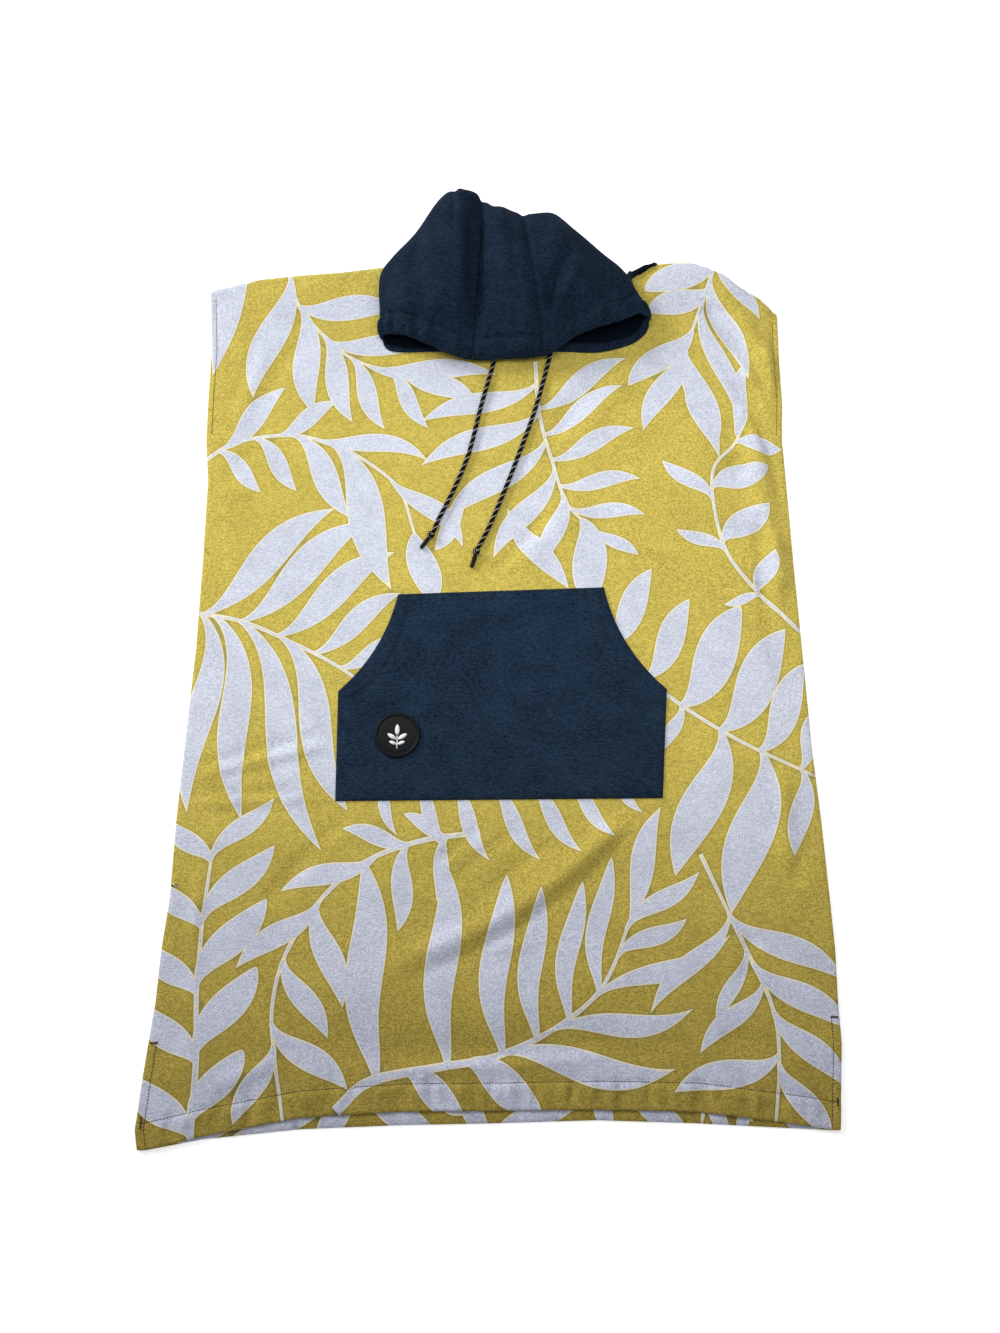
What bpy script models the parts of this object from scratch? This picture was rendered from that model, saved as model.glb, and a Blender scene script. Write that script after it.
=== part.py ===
"""A hooded bath poncho, laid flat on its back with the hood flopped forward.

Metres, +Z up. The cloth rests on z = 0, the hem lies towards -Y and the hood towards +Y.
The origin is on the surface, under the middle of the garment.
"""

import math

import bmesh
import bpy
import numpy as np
from mathutils import Matrix

COLLECTION = "hooded_bath_poncho"

# Driving sizes
TOWELLING = 0.002  # wall of the front and back panels
FLEECE = 0.0025  # wall of the hood and the pocket
SEAM_GAP = 0.0003  # air between neighbouring pieces
HEM_DEPTH = 0.030
HEM_RISE = 0.0010  # the turned-up hem is two layers thick
HEM_STEP = 0.006  # width of the step down from the hem's upper edge
AIR = 0.0022  # the front panel floats this high over the back panel, away from its edges
AIR_EDGE = 0.045  # width over which that height fades out at the sides
CORD_RADIUS = 0.00275
KNOT_SIZE = (0.0095, 0.0085, 0.0085)
TIP_RADIUS = 0.0027
TIP_LENGTH = 0.0165
BADGE_RADIUS = 0.027
BADGE_STEPS = 32
BADGE_FOOTPRINT = 1.6  # it clears the pocket's highest point within this many radii
# The badge from its middle out: share of its radius, height
BADGE_PROFILE = (
    (0.00, 0.0029),
    (0.40, 0.0028),
    (0.76, 0.0024),
    (0.84, 0.0020),
    (0.87, 0.0020),
    (0.90, 0.0032),
    (0.97, 0.0032),
    (1.00, 0.0024),
    (1.00, 0.0000),
    (0.00, 0.0000),
)

# How finely the walls are divided
LEFT_COLUMNS, NECK_COLUMNS, RIGHT_COLUMNS = 10, 16, 7  # of the front panel
FRONT_ROWS = 42
ROWS_CROWD = 1.3  # over 1, rows lie closer together towards the shoulder
POCKET_COLUMNS = 14
POCKET_LOWER_ROWS = 4
POCKET_UPPER_ROWS = 6
HOOD_STEPS_ROUND = 2  # columns between two rows of the hood table
HOOD_STEPS_UP = 3  # rows between two stops of a section

# Side edges of both panels: height up the garment, left edge, right edge
SIDES = (
    (-0.594, -0.3815, 0.3740),
    (-0.573, -0.3860, 0.3755),
    (-0.523, -0.3830, 0.3810),
    (-0.486, -0.3800, 0.3850),
    (-0.440, -0.3760, 0.3850),
    (-0.386, -0.3750, 0.3870),
    (-0.330, -0.3705, 0.3860),
    (-0.240, -0.3710, 0.3840),
    (-0.157, -0.3690, 0.3805),
    (-0.030, -0.3655, 0.3790),
    (0.086, -0.3665, 0.3775),
    (0.197, -0.3690, 0.3770),
    (0.255, -0.3760, 0.3765),
    (0.310, -0.3780, 0.3810),
    (0.389, -0.3795, 0.3820),
    (0.452, -0.3850, 0.3835),
    (0.480, -0.3875, 0.3840),
)

# Hems: place across, front hem, back hem
HEMS = (
    (-0.380, -0.5930, -0.5940),
    (-0.315, -0.5800, -0.5830),
    (-0.208, -0.5610, -0.5730),
    (-0.100, -0.5550, -0.5690),
    (0.008, -0.5540, -0.5670),
    (0.116, -0.5530, -0.5640),
    (0.225, -0.5550, -0.5670),
    (0.332, -0.5670, -0.5720),
    (0.374, -0.5730, -0.5740),
)

# Shoulders, where the front panel rolls over to the back one: place across, ridge, height of the ridge
SHOULDERS = (
    (-0.388, 0.4764, 0.0020),
    (-0.361, 0.4836, 0.0030),
    (-0.320, 0.4940, 0.0040),
    (-0.266, 0.4997, 0.0050),
    (-0.211, 0.5037, 0.0060),
    (-0.156, 0.5114, 0.0060),
    (-0.100, 0.5110, 0.0040),
    (0.035, 0.5080, 0.0000),
    (0.120, 0.5030, 0.0040),
    (0.182, 0.5040, 0.0100),
    (0.199, 0.5087, 0.0120),
    (0.218, 0.5104, 0.0140),
    (0.246, 0.5120, 0.0160),
    (0.273, 0.5097, 0.0170),
    (0.294, 0.5017, 0.0170),
    (0.313, 0.4929, 0.0160),
    (0.333, 0.4762, 0.0130),
    (0.360, 0.4609, 0.0080),
    (0.384, 0.4380, 0.0030),
)
ROLL_OF_HEIGHT = 0.35  # how far the roll goes on behind its ridge, for each metre of height
ROLL_LEAST = 0.003
SHOULDER_REACH = 0.085  # the rise to the ridge starts this far down the panel

# Neck opening: place across, neck edge of the front panel, neck edge of the back panel
NECK = (
    (-0.147, 0.5114, 0.5114),
    (-0.125, 0.4880, 0.5010),
    (-0.085, 0.4540, 0.4880),
    (-0.025, 0.4300, 0.4790),
    (0.035, 0.4240, 0.4760),
    (0.095, 0.4320, 0.4790),
    (0.145, 0.4600, 0.4870),
    (0.170, 0.4830, 0.4940),
    (0.185, 0.4955, 0.5000),
    (0.200, 0.5030, 0.5070),
    (0.222, 0.5178, 0.5178),
)
FRONT, BACK = 1, 2  # columns of the hem and neck tables
NECK_LAP = 0.004  # the hood laps this far over the panels' neck edges

# Folds of the front panel: start, middle and end across and up, half width, height, fade at the ends
FOLDS = {
    "ridge_under_pocket": (0.165, -0.222, 0.040, -0.335, -0.132, -0.408, 0.017, 0.0060, 0.18),
    "packing_crease_upper": (-0.372, -0.197, -0.276, -0.181, -0.190, -0.157, 0.012, -0.0012, 0.20),
    "packing_crease_lower": (-0.374, -0.229, -0.285, -0.222, -0.192, -0.213, 0.012, -0.0012, 0.20),
    "band_between_creases": (-0.340, -0.211, -0.280, -0.203, -0.215, -0.188, 0.016, 0.0010, 0.25),
    "swell_above_hem": (-0.300, -0.440, -0.060, -0.430, 0.210, -0.440, 0.045, 0.0030, 0.30),
    "trough_above_hem": (-0.260, -0.497, -0.060, -0.488, 0.240, -0.492, 0.020, -0.0020, 0.25),
    "right_side_valley": (0.318, 0.330, 0.326, 0.180, 0.344, 0.050, 0.022, -0.0022, 0.25),
    "right_edge_ridge": (0.352, 0.400, 0.354, 0.300, 0.358, 0.160, 0.016, 0.0030, 0.30),
    "right_shoulder_tuck": (0.318, 0.480, 0.341, 0.450, 0.356, 0.405, 0.012, -0.0040, 0.30),
    "right_breast_swell": (0.246, 0.330, 0.262, 0.180, 0.245, 0.020, 0.070, 0.0030, 0.35),
    "slit_pull_right": (0.318, -0.440, 0.352, -0.466, 0.378, -0.486, 0.014, -0.0016, 0.30),
    "slit_pull_left": (-0.336, -0.440, -0.350, -0.478, -0.374, -0.500, 0.014, -0.0016, 0.30),
}

# Pocket corners and the pull of its two curved hand openings
POCKET_TOP_LEFT = (-0.1188, 0.0392)
POCKET_TOP_RIGHT = (0.1375, 0.0485)
POCKET_SIDE_LEFT = (-0.1878, -0.0853)
POCKET_SIDE_RIGHT = (0.2100, -0.0828)
POCKET_BOTTOM_LEFT = (-0.1854, -0.2185)
POCKET_BOTTOM_RIGHT = (0.1992, -0.2150)
HAND_PULL_LEFT = (-0.1347, -0.0370)
HAND_PULL_RIGHT = (0.1520, -0.0300)
POCKET_PUFF = 0.0018
POCKET_CLEAR = 0.0005
CALM_MARGIN = 0.035  # folds fade out this far outside the pocket

BADGE_CENTRE = (-0.1141, -0.1406)

# Hood sections, from the throat round by the right: face edge, crest, height of the top, neck stop
HOOD_ROWS = (
    # name            face x   face y   face z   crest x  crest y  crest z  top z    neck x   layer
    ("throat", 0.033, 0.3840, 0.0046, 0.033, 0.400, 0.0046, 0.0046, 0.033, "front"),
    ("lip_r1", 0.090, 0.3850, 0.0046, 0.092, 0.410, 0.0046, 0.0046, 0.095, "front"),
    ("lip_r2", 0.140, 0.3840, 0.0046, 0.140, 0.425, 0.0046, 0.0046, 0.145, "front"),
    ("lip_r3", 0.183, 0.3960, 0.0050, 0.180, 0.435, 0.0060, 0.0060, 0.185, "front"),
    ("corner_r1", 0.2030, 0.4120, 0.0070, 0.1920, 0.4480, 0.0120, 0.0100, 0.170, "side"),
    ("corner_r2", 0.2080, 0.4220, 0.0150, 0.1975, 0.4580, 0.0180, 0.0180, 0.192, "side"),
    ("fold_r", 0.2075, 0.4280, 0.0240, 0.1930, 0.4640, 0.0240, 0.0250, 0.2215, "side"),
    ("brow_r5", 0.1920, 0.4270, 0.0320, 0.1840, 0.4750, 0.0310, 0.0340, 0.197, "back"),
    ("brow_r4", 0.1650, 0.4120, 0.0370, 0.1690, 0.4910, 0.0400, 0.0430, 0.178, "back"),
    ("brow_r3", 0.1380, 0.4030, 0.0370, 0.1450, 0.5050, 0.0500, 0.0540, 0.135, "back"),
    ("brow_r2", 0.1080, 0.3920, 0.0320, 0.1100, 0.5310, 0.0610, 0.0680, 0.105, "back"),
    ("brow_r1", 0.0830, 0.3760, 0.0250, 0.0760, 0.5540, 0.0680, 0.0780, 0.078, "back"),
    ("seam_r", 0.0635, 0.3685, 0.0210, 0.0390, 0.5520, 0.0690, 0.0830, 0.050, "back"),
    ("centre", 0.0200, 0.3665, 0.0190, 0.0120, 0.5610, 0.0700, 0.0800, 0.022, "back"),
    ("seam_l", -0.0280, 0.3653, 0.0190, -0.0160, 0.5720, 0.0740, 0.0700, -0.008, "back"),
    ("brow_l1", -0.0580, 0.3705, 0.0240, -0.0450, 0.5824, 0.0780, 0.0760, -0.035, "back"),
    ("brow_l2", -0.0880, 0.3825, 0.0290, -0.0735, 0.5715, 0.0700, 0.0720, -0.062, "back"),
    ("brow_l3", -0.1150, 0.3940, 0.0300, -0.1050, 0.5310, 0.0570, 0.0590, -0.085, "back"),
    ("brow_l4", -0.1360, 0.4005, 0.0250, -0.1350, 0.5030, 0.0460, 0.0440, -0.108, "back"),
    ("corner_l2", -0.1490, 0.4020, 0.0190, -0.1530, 0.4810, 0.0340, 0.0290, -0.136, "side"),
    ("corner_l1", -0.1500, 0.3990, 0.0100, -0.1500, 0.4500, 0.0160, 0.0150, -0.132, "side"),
    ("lip_l2", -0.1330, 0.3850, 0.0046, -0.1250, 0.4250, 0.0046, 0.0046, -0.110, "front"),
    ("lip_l1", -0.0650, 0.3850, 0.0046, -0.0550, 0.4100, 0.0046, 0.0046, -0.040, "front"),
)
# Where a section turns over the shoulder instead of standing on the surface: its rear and heel stops
HOOD_TURNS = {
    "corner_r2": ((0.1830, 0.4740, 0.0170), (0.1840, 0.4880, 0.0180)),
    "fold_r": ((0.1850, 0.4900, 0.0225), (0.2050, 0.5075, 0.0215)),
    "brow_r5": ((0.1830, 0.5010, 0.0240), (0.1920, 0.5130, 0.0060)),
}

# Folds of the hood: from row and stop, to row and stop, half width in rows, height
HOOD_FOLDS = {
    "valley_by_left_seam": (14.15, 3.1, 13.9, 0.9, 0.45, -0.0060),
    "tuck_at_left_crest": (15.0, 3.4, 15.2, 2.3, 0.45, 0.0040),
    "swell_of_centre": (13.2, 2.9, 13.2, 1.2, 0.40, 0.0035),
    "soft_fold_right": (11.0, 2.7, 9.2, 0.9, 0.45, 0.0035),
    "dip_right_of_seam": (11.9, 2.4, 10.8, 0.9, 0.40, -0.0030),
}
HOOD_MIDDLE = (0.030, 0.450)
NUDGE = 0.03  # step over which the surface's slope is read, in rows and stops
SECTION_SPACING = 0.020  # rough distance between two sections
REAR_BULGE = 0.006  # the back of the hood swells this far behind its crest
REAR_HEIGHT = 0.42  # height of that swell, as a share of the crest's
HEEL_INSET = 0.35  # the heel turns in by this share of the crest's height over HEEL_FROM
HEEL_FROM = 0.045
BROW_SHARE = 0.24  # where the brow lies between face edge and crest
BROW_HEIGHT = 0.62
TOP_SHARE = 0.60
FRONT_EDGE_KEEP = 0.016  # cloth beyond a panel's edge comes down to the surface over this width
BACK_EDGE_KEEP = 0.030
SLOPE_CLEAR = 0.0022  # extra air between hood and panel where the shoulder rises
# The three cut pieces of the hood: from seam, to seam
HOOD_SEAMS = {
    "hood_right": ("throat", "seam_r"),
    "hood_centre": ("seam_r", "seam_l"),
    "hood_left": ("seam_l", "throat"),
}

# Drawcords, from the throat to the knot: across and up
CORDS = {
    "left": (
        (0.0020, 0.3834),
        (-0.0010, 0.3640),
        (-0.0160, 0.3050),
        (-0.0310, 0.2378),
        (-0.0440, 0.1990),
        (-0.0575, 0.1665),
        (-0.0695, 0.1405),
        (-0.0765, 0.1215),
    ),
    "right": (
        (0.0760, 0.3834),
        (0.0755, 0.3790),
        (0.0540, 0.2961),
        (0.0330, 0.2330),
        (0.0144, 0.1809),
        (-0.0022, 0.1377),
        (-0.0130, 0.1135),
        (-0.0205, 0.0995),
    ),
}
CORD_ENDS = {"left": (-0.0928, 0.0985), "right": (-0.0283, 0.0716)}
CORD_STEP = 0.013
CORD_CLEAR = 0.0006
CORD_SAMPLES = 300

# Colours
YELLOW = (0.491, 0.397, 0.089)
NAVY = (0.012, 0.026, 0.058)
BLACK = (0.010, 0.010, 0.011)
CORD_BROWN = (0.030, 0.020, 0.014)


# ---------------------------------------------------------------- curves and sections


def column(table, index):
    return [row[index] for row in table]


def read(table, index, at):
    """The table's column at a place along its first column."""
    return np.interp(at, column(table, 0), column(table, index))


def spline_weights(stops, places, closed):
    """Catmull-Rom weights of each stop at each place, a row for each place."""
    weights = np.zeros((len(places), stops))
    for row, place in zip(weights, places):
        first = int(place) if closed else min(int(place), stops - 2)
        t = place - first
        near = (-t + 2 * t**2 - t**3, 2 - 5 * t**2 + 3 * t**3, t + 4 * t**2 - 3 * t**3, t**3 - t**2)
        for stop, weight in zip(range(first - 1, first + 3), near):
            if closed:
                row[stop % stops] += weight / 2
            elif stop < 0:
                row[:2] += weight * np.array((1.0, -0.5))
            elif stop >= stops:
                row[-2:] += weight * np.array((-0.5, 1.0))
            else:
                row[stop] += weight / 2
    return weights


def bend(start, pull, end, share):
    """A point of the quadratic curve from start to end."""
    start, pull, end = (np.asarray(p, float) for p in (start, pull, end))
    return (1 - share) ** 2 * start + 2 * share * (1 - share) * pull + share**2 * end


def ease(share):
    """0 to 1, level at both ends."""
    share = np.clip(share, 0.0, 1.0)
    return share * share * (3 - 2 * share)


# ---------------------------------------------------------------- the two panels


def shoulder_end(x):
    """Where the front panel meets the back one, behind the roll of the shoulder."""
    return read(SHOULDERS, 1, x) + ROLL_OF_HEIGHT * read(SHOULDERS, 2, x) + ROLL_LEAST


def neck_edge(x, panel):
    """The neck edge of a panel, or its shoulder beyond the neck opening."""
    inside = (x > NECK[0][0]) & (x < NECK[-1][0])
    return np.where(inside, read(NECK, panel, x), shoulder_end(x))


def pocket_calm(x, y):
    """0 over the pocket, 1 well outside it."""
    out_x = np.maximum(POCKET_SIDE_LEFT[0] - x, x - POCKET_SIDE_RIGHT[0])
    out_y = np.maximum(POCKET_BOTTOM_LEFT[1] - y, y - POCKET_TOP_RIGHT[1])
    return ease(np.maximum(out_x, out_y) / CALM_MARGIN)


def fold_height(x, y, fold):
    x0, y0, x1, y1, x2, y2, half_width, height, fade = fold
    pull = (2 * x1 - (x0 + x2) / 2, 2 * y1 - (y0 + y2) / 2)
    nearest = np.full(np.shape(x), np.inf)
    share_there = np.zeros(np.shape(x))
    for share in np.linspace(0, 1, 25):
        px, py = bend((x0, y0), pull, (x2, y2), share)
        distance = np.hypot(x - px, y - py)
        closer = distance < nearest
        nearest = np.where(closer, distance, nearest)
        share_there = np.where(closer, share, share_there)
    ends = ease(np.minimum(share_there, 1 - share_there) / fade)
    return height * ends * np.exp(-((nearest / half_width) ** 2))


def shoulder_rise(x, y):
    ridge = read(SHOULDERS, 1, x)
    height = read(SHOULDERS, 2, x)
    roll = shoulder_end(x) - ridge
    before = ease(1 - (ridge - y) / SHOULDER_REACH)
    behind = np.sqrt(np.clip(1 - ((y - ridge) / roll) ** 2, 0, 1))
    return height * np.where(y > ridge, behind, before)


def front_lift(x, y):
    """How far the front panel's underside stands off the back panel."""
    sides = np.minimum(x - read(SIDES, 1, y), read(SIDES, 2, y) - x)
    above_hem = y - read(HEMS, FRONT, x)
    below_shoulder = shoulder_end(x) - y
    inside = ease(sides / AIR_EDGE) * ease(above_hem / HEM_DEPTH) * ease(below_shoulder / AIR_EDGE)
    folds = sum(fold_height(x, y, fold) for fold in FOLDS.values()) * pocket_calm(x, y)
    hem = HEM_RISE * ease((HEM_DEPTH - above_hem) / HEM_STEP)
    return np.maximum(inside * (AIR + folds) + hem + shoulder_rise(x, y), 0)


def front_top(x, y):
    """The front panel's outer face."""
    return TOWELLING + SEAM_GAP + front_lift(x, y) + TOWELLING


def front_points():
    """Rows of points over the front panel, from hem to shoulder."""
    left, right = NECK[0][0], NECK[-1][0]
    nominal = np.concatenate((
        np.linspace(SIDES[-1][1], left, LEFT_COLUMNS, endpoint=False),
        np.linspace(left, right, NECK_COLUMNS, endpoint=False),
        np.linspace(right, SIDES[-1][2], RIGHT_COLUMNS + 1),
    ))
    across = (nominal - nominal[0]) / (nominal[-1] - nominal[0])
    up = 1 - (1 - np.linspace(0, 1, FRONT_ROWS + 1)) ** ROWS_CROWD
    low, high = read(HEMS, FRONT, nominal), neck_edge(nominal, FRONT)
    y = low + (high - low) * up[:, None]
    x = read(SIDES, 1, y) * (1 - across) + read(SIDES, 2, y) * across
    return np.stack((x, y, front_top(x, y)), axis=-1)


def rest_height(x, y):
    """What the hood lies on: the front panel, the back panel, or the surface beyond their neck edges."""
    past_front = ease(1 - (y - neck_edge(x, FRONT)) / FRONT_EDGE_KEEP)
    past_back = ease(1 - (y - neck_edge(x, BACK)) / BACK_EDGE_KEEP)
    front = front_top(x, y) + SEAM_GAP + np.minimum(SLOPE_CLEAR, shoulder_rise(x, y) / 2)
    return np.maximum(front * past_front, (TOWELLING + SEAM_GAP) * past_back)


# ---------------------------------------------------------------- hood


def hood_stops():
    """The stops of every section, from the face edge over the crest to the neck seam."""
    sections = []
    for name, fx, fy, fz, cx, cy, cz, top_z, neck_x, layer in HOOD_ROWS:
        face, crest = np.array((fx, fy, fz)), np.array((cx, cy, cz))
        neck_y = float(neck_edge(neck_x, BACK if layer == "back" else FRONT)) - NECK_LAP
        neck = np.array((neck_x, neck_y, float(rest_height(neck_x, neck_y))))
        if layer == "front":
            stops = [face + (neck - face) * share for share in np.linspace(0, 1, 7)]
        else:
            out = crest[:2] - HOOD_MIDDLE
            out /= np.linalg.norm(out)
            brow = face + (crest - face) * BROW_SHARE
            brow[2] = face[2] + (top_z - face[2]) * BROW_HEIGHT
            top = face + (crest - face) * TOP_SHARE
            top[2] = top_z
            rear = np.append(crest[:2] + out * REAR_BULGE, crest[2] * REAR_HEIGHT)
            heel = np.append(crest[:2] - out * HEEL_INSET * (crest[2] - HEEL_FROM), 0.0)
            if layer == "side":
                rear = crest + (neck - crest) / 3
                heel = crest + (neck - crest) * 2 / 3
            if name in HOOD_TURNS:
                rear, heel = HOOD_TURNS[name]
            stops = [face, brow, top, crest, rear, heel, neck]
        sections.append(stops)
    return np.array(sections)


def hood_fold_height(around, up):
    """How far the folds lift the hood at each place around and up."""
    around, up = np.meshgrid(around, up, indexing="ij")
    height = np.zeros(around.shape)
    for row0, stop0, row1, stop1, half_width, rise in HOOD_FOLDS.values():
        run = np.array((row1 - row0, stop1 - stop0))
        share = ((around - row0) * run[0] + (up - stop0) * run[1]) / (run @ run)
        share = np.clip(share, 0, 1)
        away = np.hypot(around - row0 - share * run[0], (up - stop0 - share * run[1]))
        height += rise * np.exp(-((away / half_width) ** 2))
    return height


def hood_surface(stops, around, up):
    """The hood's outer face at each place around and up."""
    points = np.einsum(
        "ur,vs,rsk->uvk",
        spline_weights(stops.shape[0], around, True),
        spline_weights(stops.shape[1], up, False),
        stops,
    )
    points[..., 2] += hood_fold_height(around, up)
    points[..., 2] = np.maximum(points[..., 2], rest_height(points[..., 0], points[..., 1]))
    return points


def hood_skins(stops, around, up):
    """Outer and inner points of the wall."""
    last = stops.shape[1] - 1.0
    ahead = hood_surface(stops, around + NUDGE, up)
    behind = hood_surface(stops, around - NUDGE, up)
    above = hood_surface(stops, around, np.minimum(up + NUDGE, last))
    below = hood_surface(stops, around, np.maximum(up - NUDGE, 0.0))
    normals = np.cross(above - below, ahead - behind)
    normals /= np.linalg.norm(normals, axis=-1, keepdims=True)
    outer = hood_surface(stops, around, up)
    return outer, outer - FLEECE * normals


def hood_panel(name, stops):
    """One cut piece of the hood, between two of its seams."""
    names = column(HOOD_ROWS, 0)
    first, last = (names.index(seam) for seam in HOOD_SEAMS[name])
    last += len(names) if last <= first else 0
    trim = SEAM_GAP / SECTION_SPACING
    around = np.linspace(first + trim, last - trim, (last - first) * HOOD_STEPS_ROUND + 1)
    up = np.linspace(0, stops.shape[1] - 1, (stops.shape[1] - 1) * HOOD_STEPS_UP + 1)
    return wall(name, *hood_skins(stops, around, up), surface("navy_fleece", NAVY))


# ---------------------------------------------------------------- pocket


def pocket_points():
    """Rows of the pocket's outer face, from its bottom edge to its top edge."""
    sides = np.array((POCKET_SIDE_LEFT, POCKET_SIDE_RIGHT))
    bottoms = np.array((POCKET_BOTTOM_LEFT, POCKET_BOTTOM_RIGHT))
    tops = np.array((POCKET_TOP_LEFT, POCKET_TOP_RIGHT))
    pulls = np.array((HAND_PULL_LEFT, HAND_PULL_RIGHT))
    lower = np.linspace(0, 1, POCKET_LOWER_ROWS, endpoint=False)
    upper = np.linspace(0, 1, POCKET_UPPER_ROWS + 1)
    ends = [bottoms + (sides - bottoms) * share for share in lower]
    ends += [bend(sides, pulls, tops, share) for share in upper]
    across = np.linspace(0, 1, POCKET_COLUMNS + 1)[:, None]
    flat = np.array([left * (1 - across) + right * across for left, right in ends])
    x, y = flat[..., 0], flat[..., 1]
    up = np.linspace(0, 1, len(ends))[:, None]
    puff = POCKET_PUFF * np.sin(math.pi * up) ** 0.5
    height = front_top(x, y) + POCKET_CLEAR + FLEECE + puff
    return np.stack((x, y, height), axis=-1)


# ---------------------------------------------------------------- solids


def surface(name, colour, roughness=0.9):
    """A material, made once."""
    material = bpy.data.materials.get(name) or bpy.data.materials.new(name)
    material.use_nodes = True
    shader = material.node_tree.nodes["Principled BSDF"]
    shader.inputs["Base Color"].default_value = (*colour, 1.0)
    shader.inputs["Roughness"].default_value = roughness
    shader.inputs["Metallic"].default_value = 0.0
    return material


def keep(name, data, material):
    """A named object in the garment's collection."""
    piece = bpy.data.objects.new(name, data)
    bpy.data.collections[COLLECTION].objects.link(piece)
    data.materials.append(material)
    return piece


def wall(name, outer, inner, material):
    """A cloth wall between two skins of points in rows, closed by a rim round its edges."""
    rows, columns = outer.shape[:2]
    mesh = bmesh.new()
    skins = [
        [[mesh.verts.new(point) for point in row] for row in skin]
        for skin in (outer, inner)
    ]
    for skin in skins:
        for low, high in zip(skin, skin[1:]):
            for a, b, c, d in zip(low, low[1:], high[1:], high):
                mesh.faces.new((a, b, c, d))
    rim = [(0, c) for c in range(columns)]
    rim += [(r, columns - 1) for r in range(1, rows)]
    rim += [(rows - 1, c) for c in range(columns - 2, -1, -1)]
    rim += [(r, 0) for r in range(rows - 2, 0, -1)]
    for (r0, c0), (r1, c1) in zip(rim, rim[1:] + rim[:1]):
        mesh.faces.new((skins[0][r0][c0], skins[1][r0][c0], skins[1][r1][c1], skins[0][r1][c1]))
    bmesh.ops.recalc_face_normals(mesh, faces=mesh.faces)
    bmesh.ops.triangulate(mesh, faces=mesh.faces)
    data = bpy.data.meshes.new(name)
    mesh.to_mesh(data)
    mesh.free()
    data.shade_smooth()
    return keep(name, data, material)


def under(outer, thickness, floor):
    """The inner skin below an outer one, square to it and no lower than what it rests on."""
    along = np.gradient(outer, axis=1)
    up = np.gradient(outer, axis=0)
    normals = np.cross(along, up)
    normals /= np.linalg.norm(normals, axis=-1, keepdims=True)
    inner = outer - thickness * normals
    inner[..., 2] = np.maximum(inner[..., 2], floor)
    return inner


def front_panel():
    outer = front_points()
    inner = under(outer, TOWELLING, TOWELLING + SEAM_GAP)
    inner[..., :2] = outer[..., :2]
    return wall("front_panel", outer, inner, surface("printed_towelling", YELLOW))


def back_panel():
    """A flat cut of cloth: hem, right side, shoulders with the neck scooped out, left side."""
    hem = [(x, back) for x, _, back in HEMS]
    right = [(x, y) for y, _, x in SIDES[1:-1] if y < shoulder_end(x)]
    shoulders = [(x, float(shoulder_end(x))) for x, _, _ in SHOULDERS[::-1]]
    top = [p for p in shoulders if p[0] > NECK[-1][0]]
    top += [(x, back) for x, _, back in NECK[::-1]]
    top += [p for p in shoulders if p[0] < NECK[0][0]]
    left = [(x, y) for y, x, _ in SIDES[-2:0:-1]]
    outline = hem + right + top + left
    return flat_piece("back_panel", outline, TOWELLING, surface("printed_towelling", YELLOW))


def flat_piece(name, outline, thickness, material):
    """A flat outline, extruded up from the surface."""
    curve = bpy.data.curves.new(name, "CURVE")
    curve.dimensions = "2D"
    curve.fill_mode = "BOTH"
    curve.extrude = thickness / 2
    spline = curve.splines.new("POLY")
    spline.points.add(len(outline) - 1)
    for point, (x, y) in zip(spline.points, outline):
        point.co = (x, y, 0.0, 1.0)
    spline.use_cyclic_u = True
    piece = keep(name, curve, material)
    piece.location.z = thickness / 2
    return piece


def pocket():
    outer = pocket_points()
    floor = front_top(outer[..., 0], outer[..., 1]) + POCKET_CLEAR
    inner = outer.copy()
    inner[..., 2] = np.maximum(outer[..., 2] - FLEECE, floor)
    return wall("pocket", outer, inner, surface("navy_fleece", NAVY))


def badge(pocket_piece):
    """A round rubber patch: a raised rim, a groove and a low dome, turned round its axis."""
    near = [
        v.co.z
        for v in pocket_piece.data.vertices
        if math.hypot(v.co.x - BADGE_CENTRE[0], v.co.y - BADGE_CENTRE[1]) < BADGE_FOOTPRINT * BADGE_RADIUS
    ]
    data = bpy.data.meshes.new("badge")
    points = [(BADGE_RADIUS * share, 0.0, height) for share, height in BADGE_PROFILE]
    data.from_pydata(points, [(i, i + 1) for i in range(len(points) - 1)], [])
    piece = keep("badge", data, surface("black_rubber", BLACK, 0.45))
    piece.location = (*BADGE_CENTRE, max(near) + SEAM_GAP)
    screw = piece.modifiers.new("turn", "SCREW")
    screw.steps = screw.render_steps = BADGE_STEPS
    screw.use_merge_vertices = True
    screw.merge_threshold = 0.0001
    return piece


# ---------------------------------------------------------------- drawcords


def cord_route(side):
    """Points along a drawcord, evenly spaced, lying on the front panel."""
    stops = np.array(CORDS[side])
    dense = spline_weights(len(stops), np.linspace(0, len(stops) - 1, CORD_SAMPLES), False) @ stops
    steps = np.hypot(*np.diff(dense, axis=0).T)
    run = np.concatenate(([0], np.cumsum(steps)))
    places = np.linspace(0, run[-1], round(run[-1] / CORD_STEP) + 1)
    x, y = (np.interp(places, run, dense[:, axis]) for axis in (0, 1))
    return np.stack((x, y, front_top(x, y) + CORD_CLEAR + CORD_RADIUS), axis=-1)


def cord(name, points):
    curve = bpy.data.curves.new(name, "CURVE")
    curve.dimensions = "3D"
    curve.bevel_depth = CORD_RADIUS
    curve.bevel_resolution = 2
    curve.use_fill_caps = True
    spline = curve.splines.new("POLY")
    spline.points.add(len(points) - 1)
    for point, place in zip(spline.points, points):
        point.co = (*place, 1.0)
    return keep(name, curve, surface("cord_braid", CORD_BROWN, 0.7))


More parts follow.
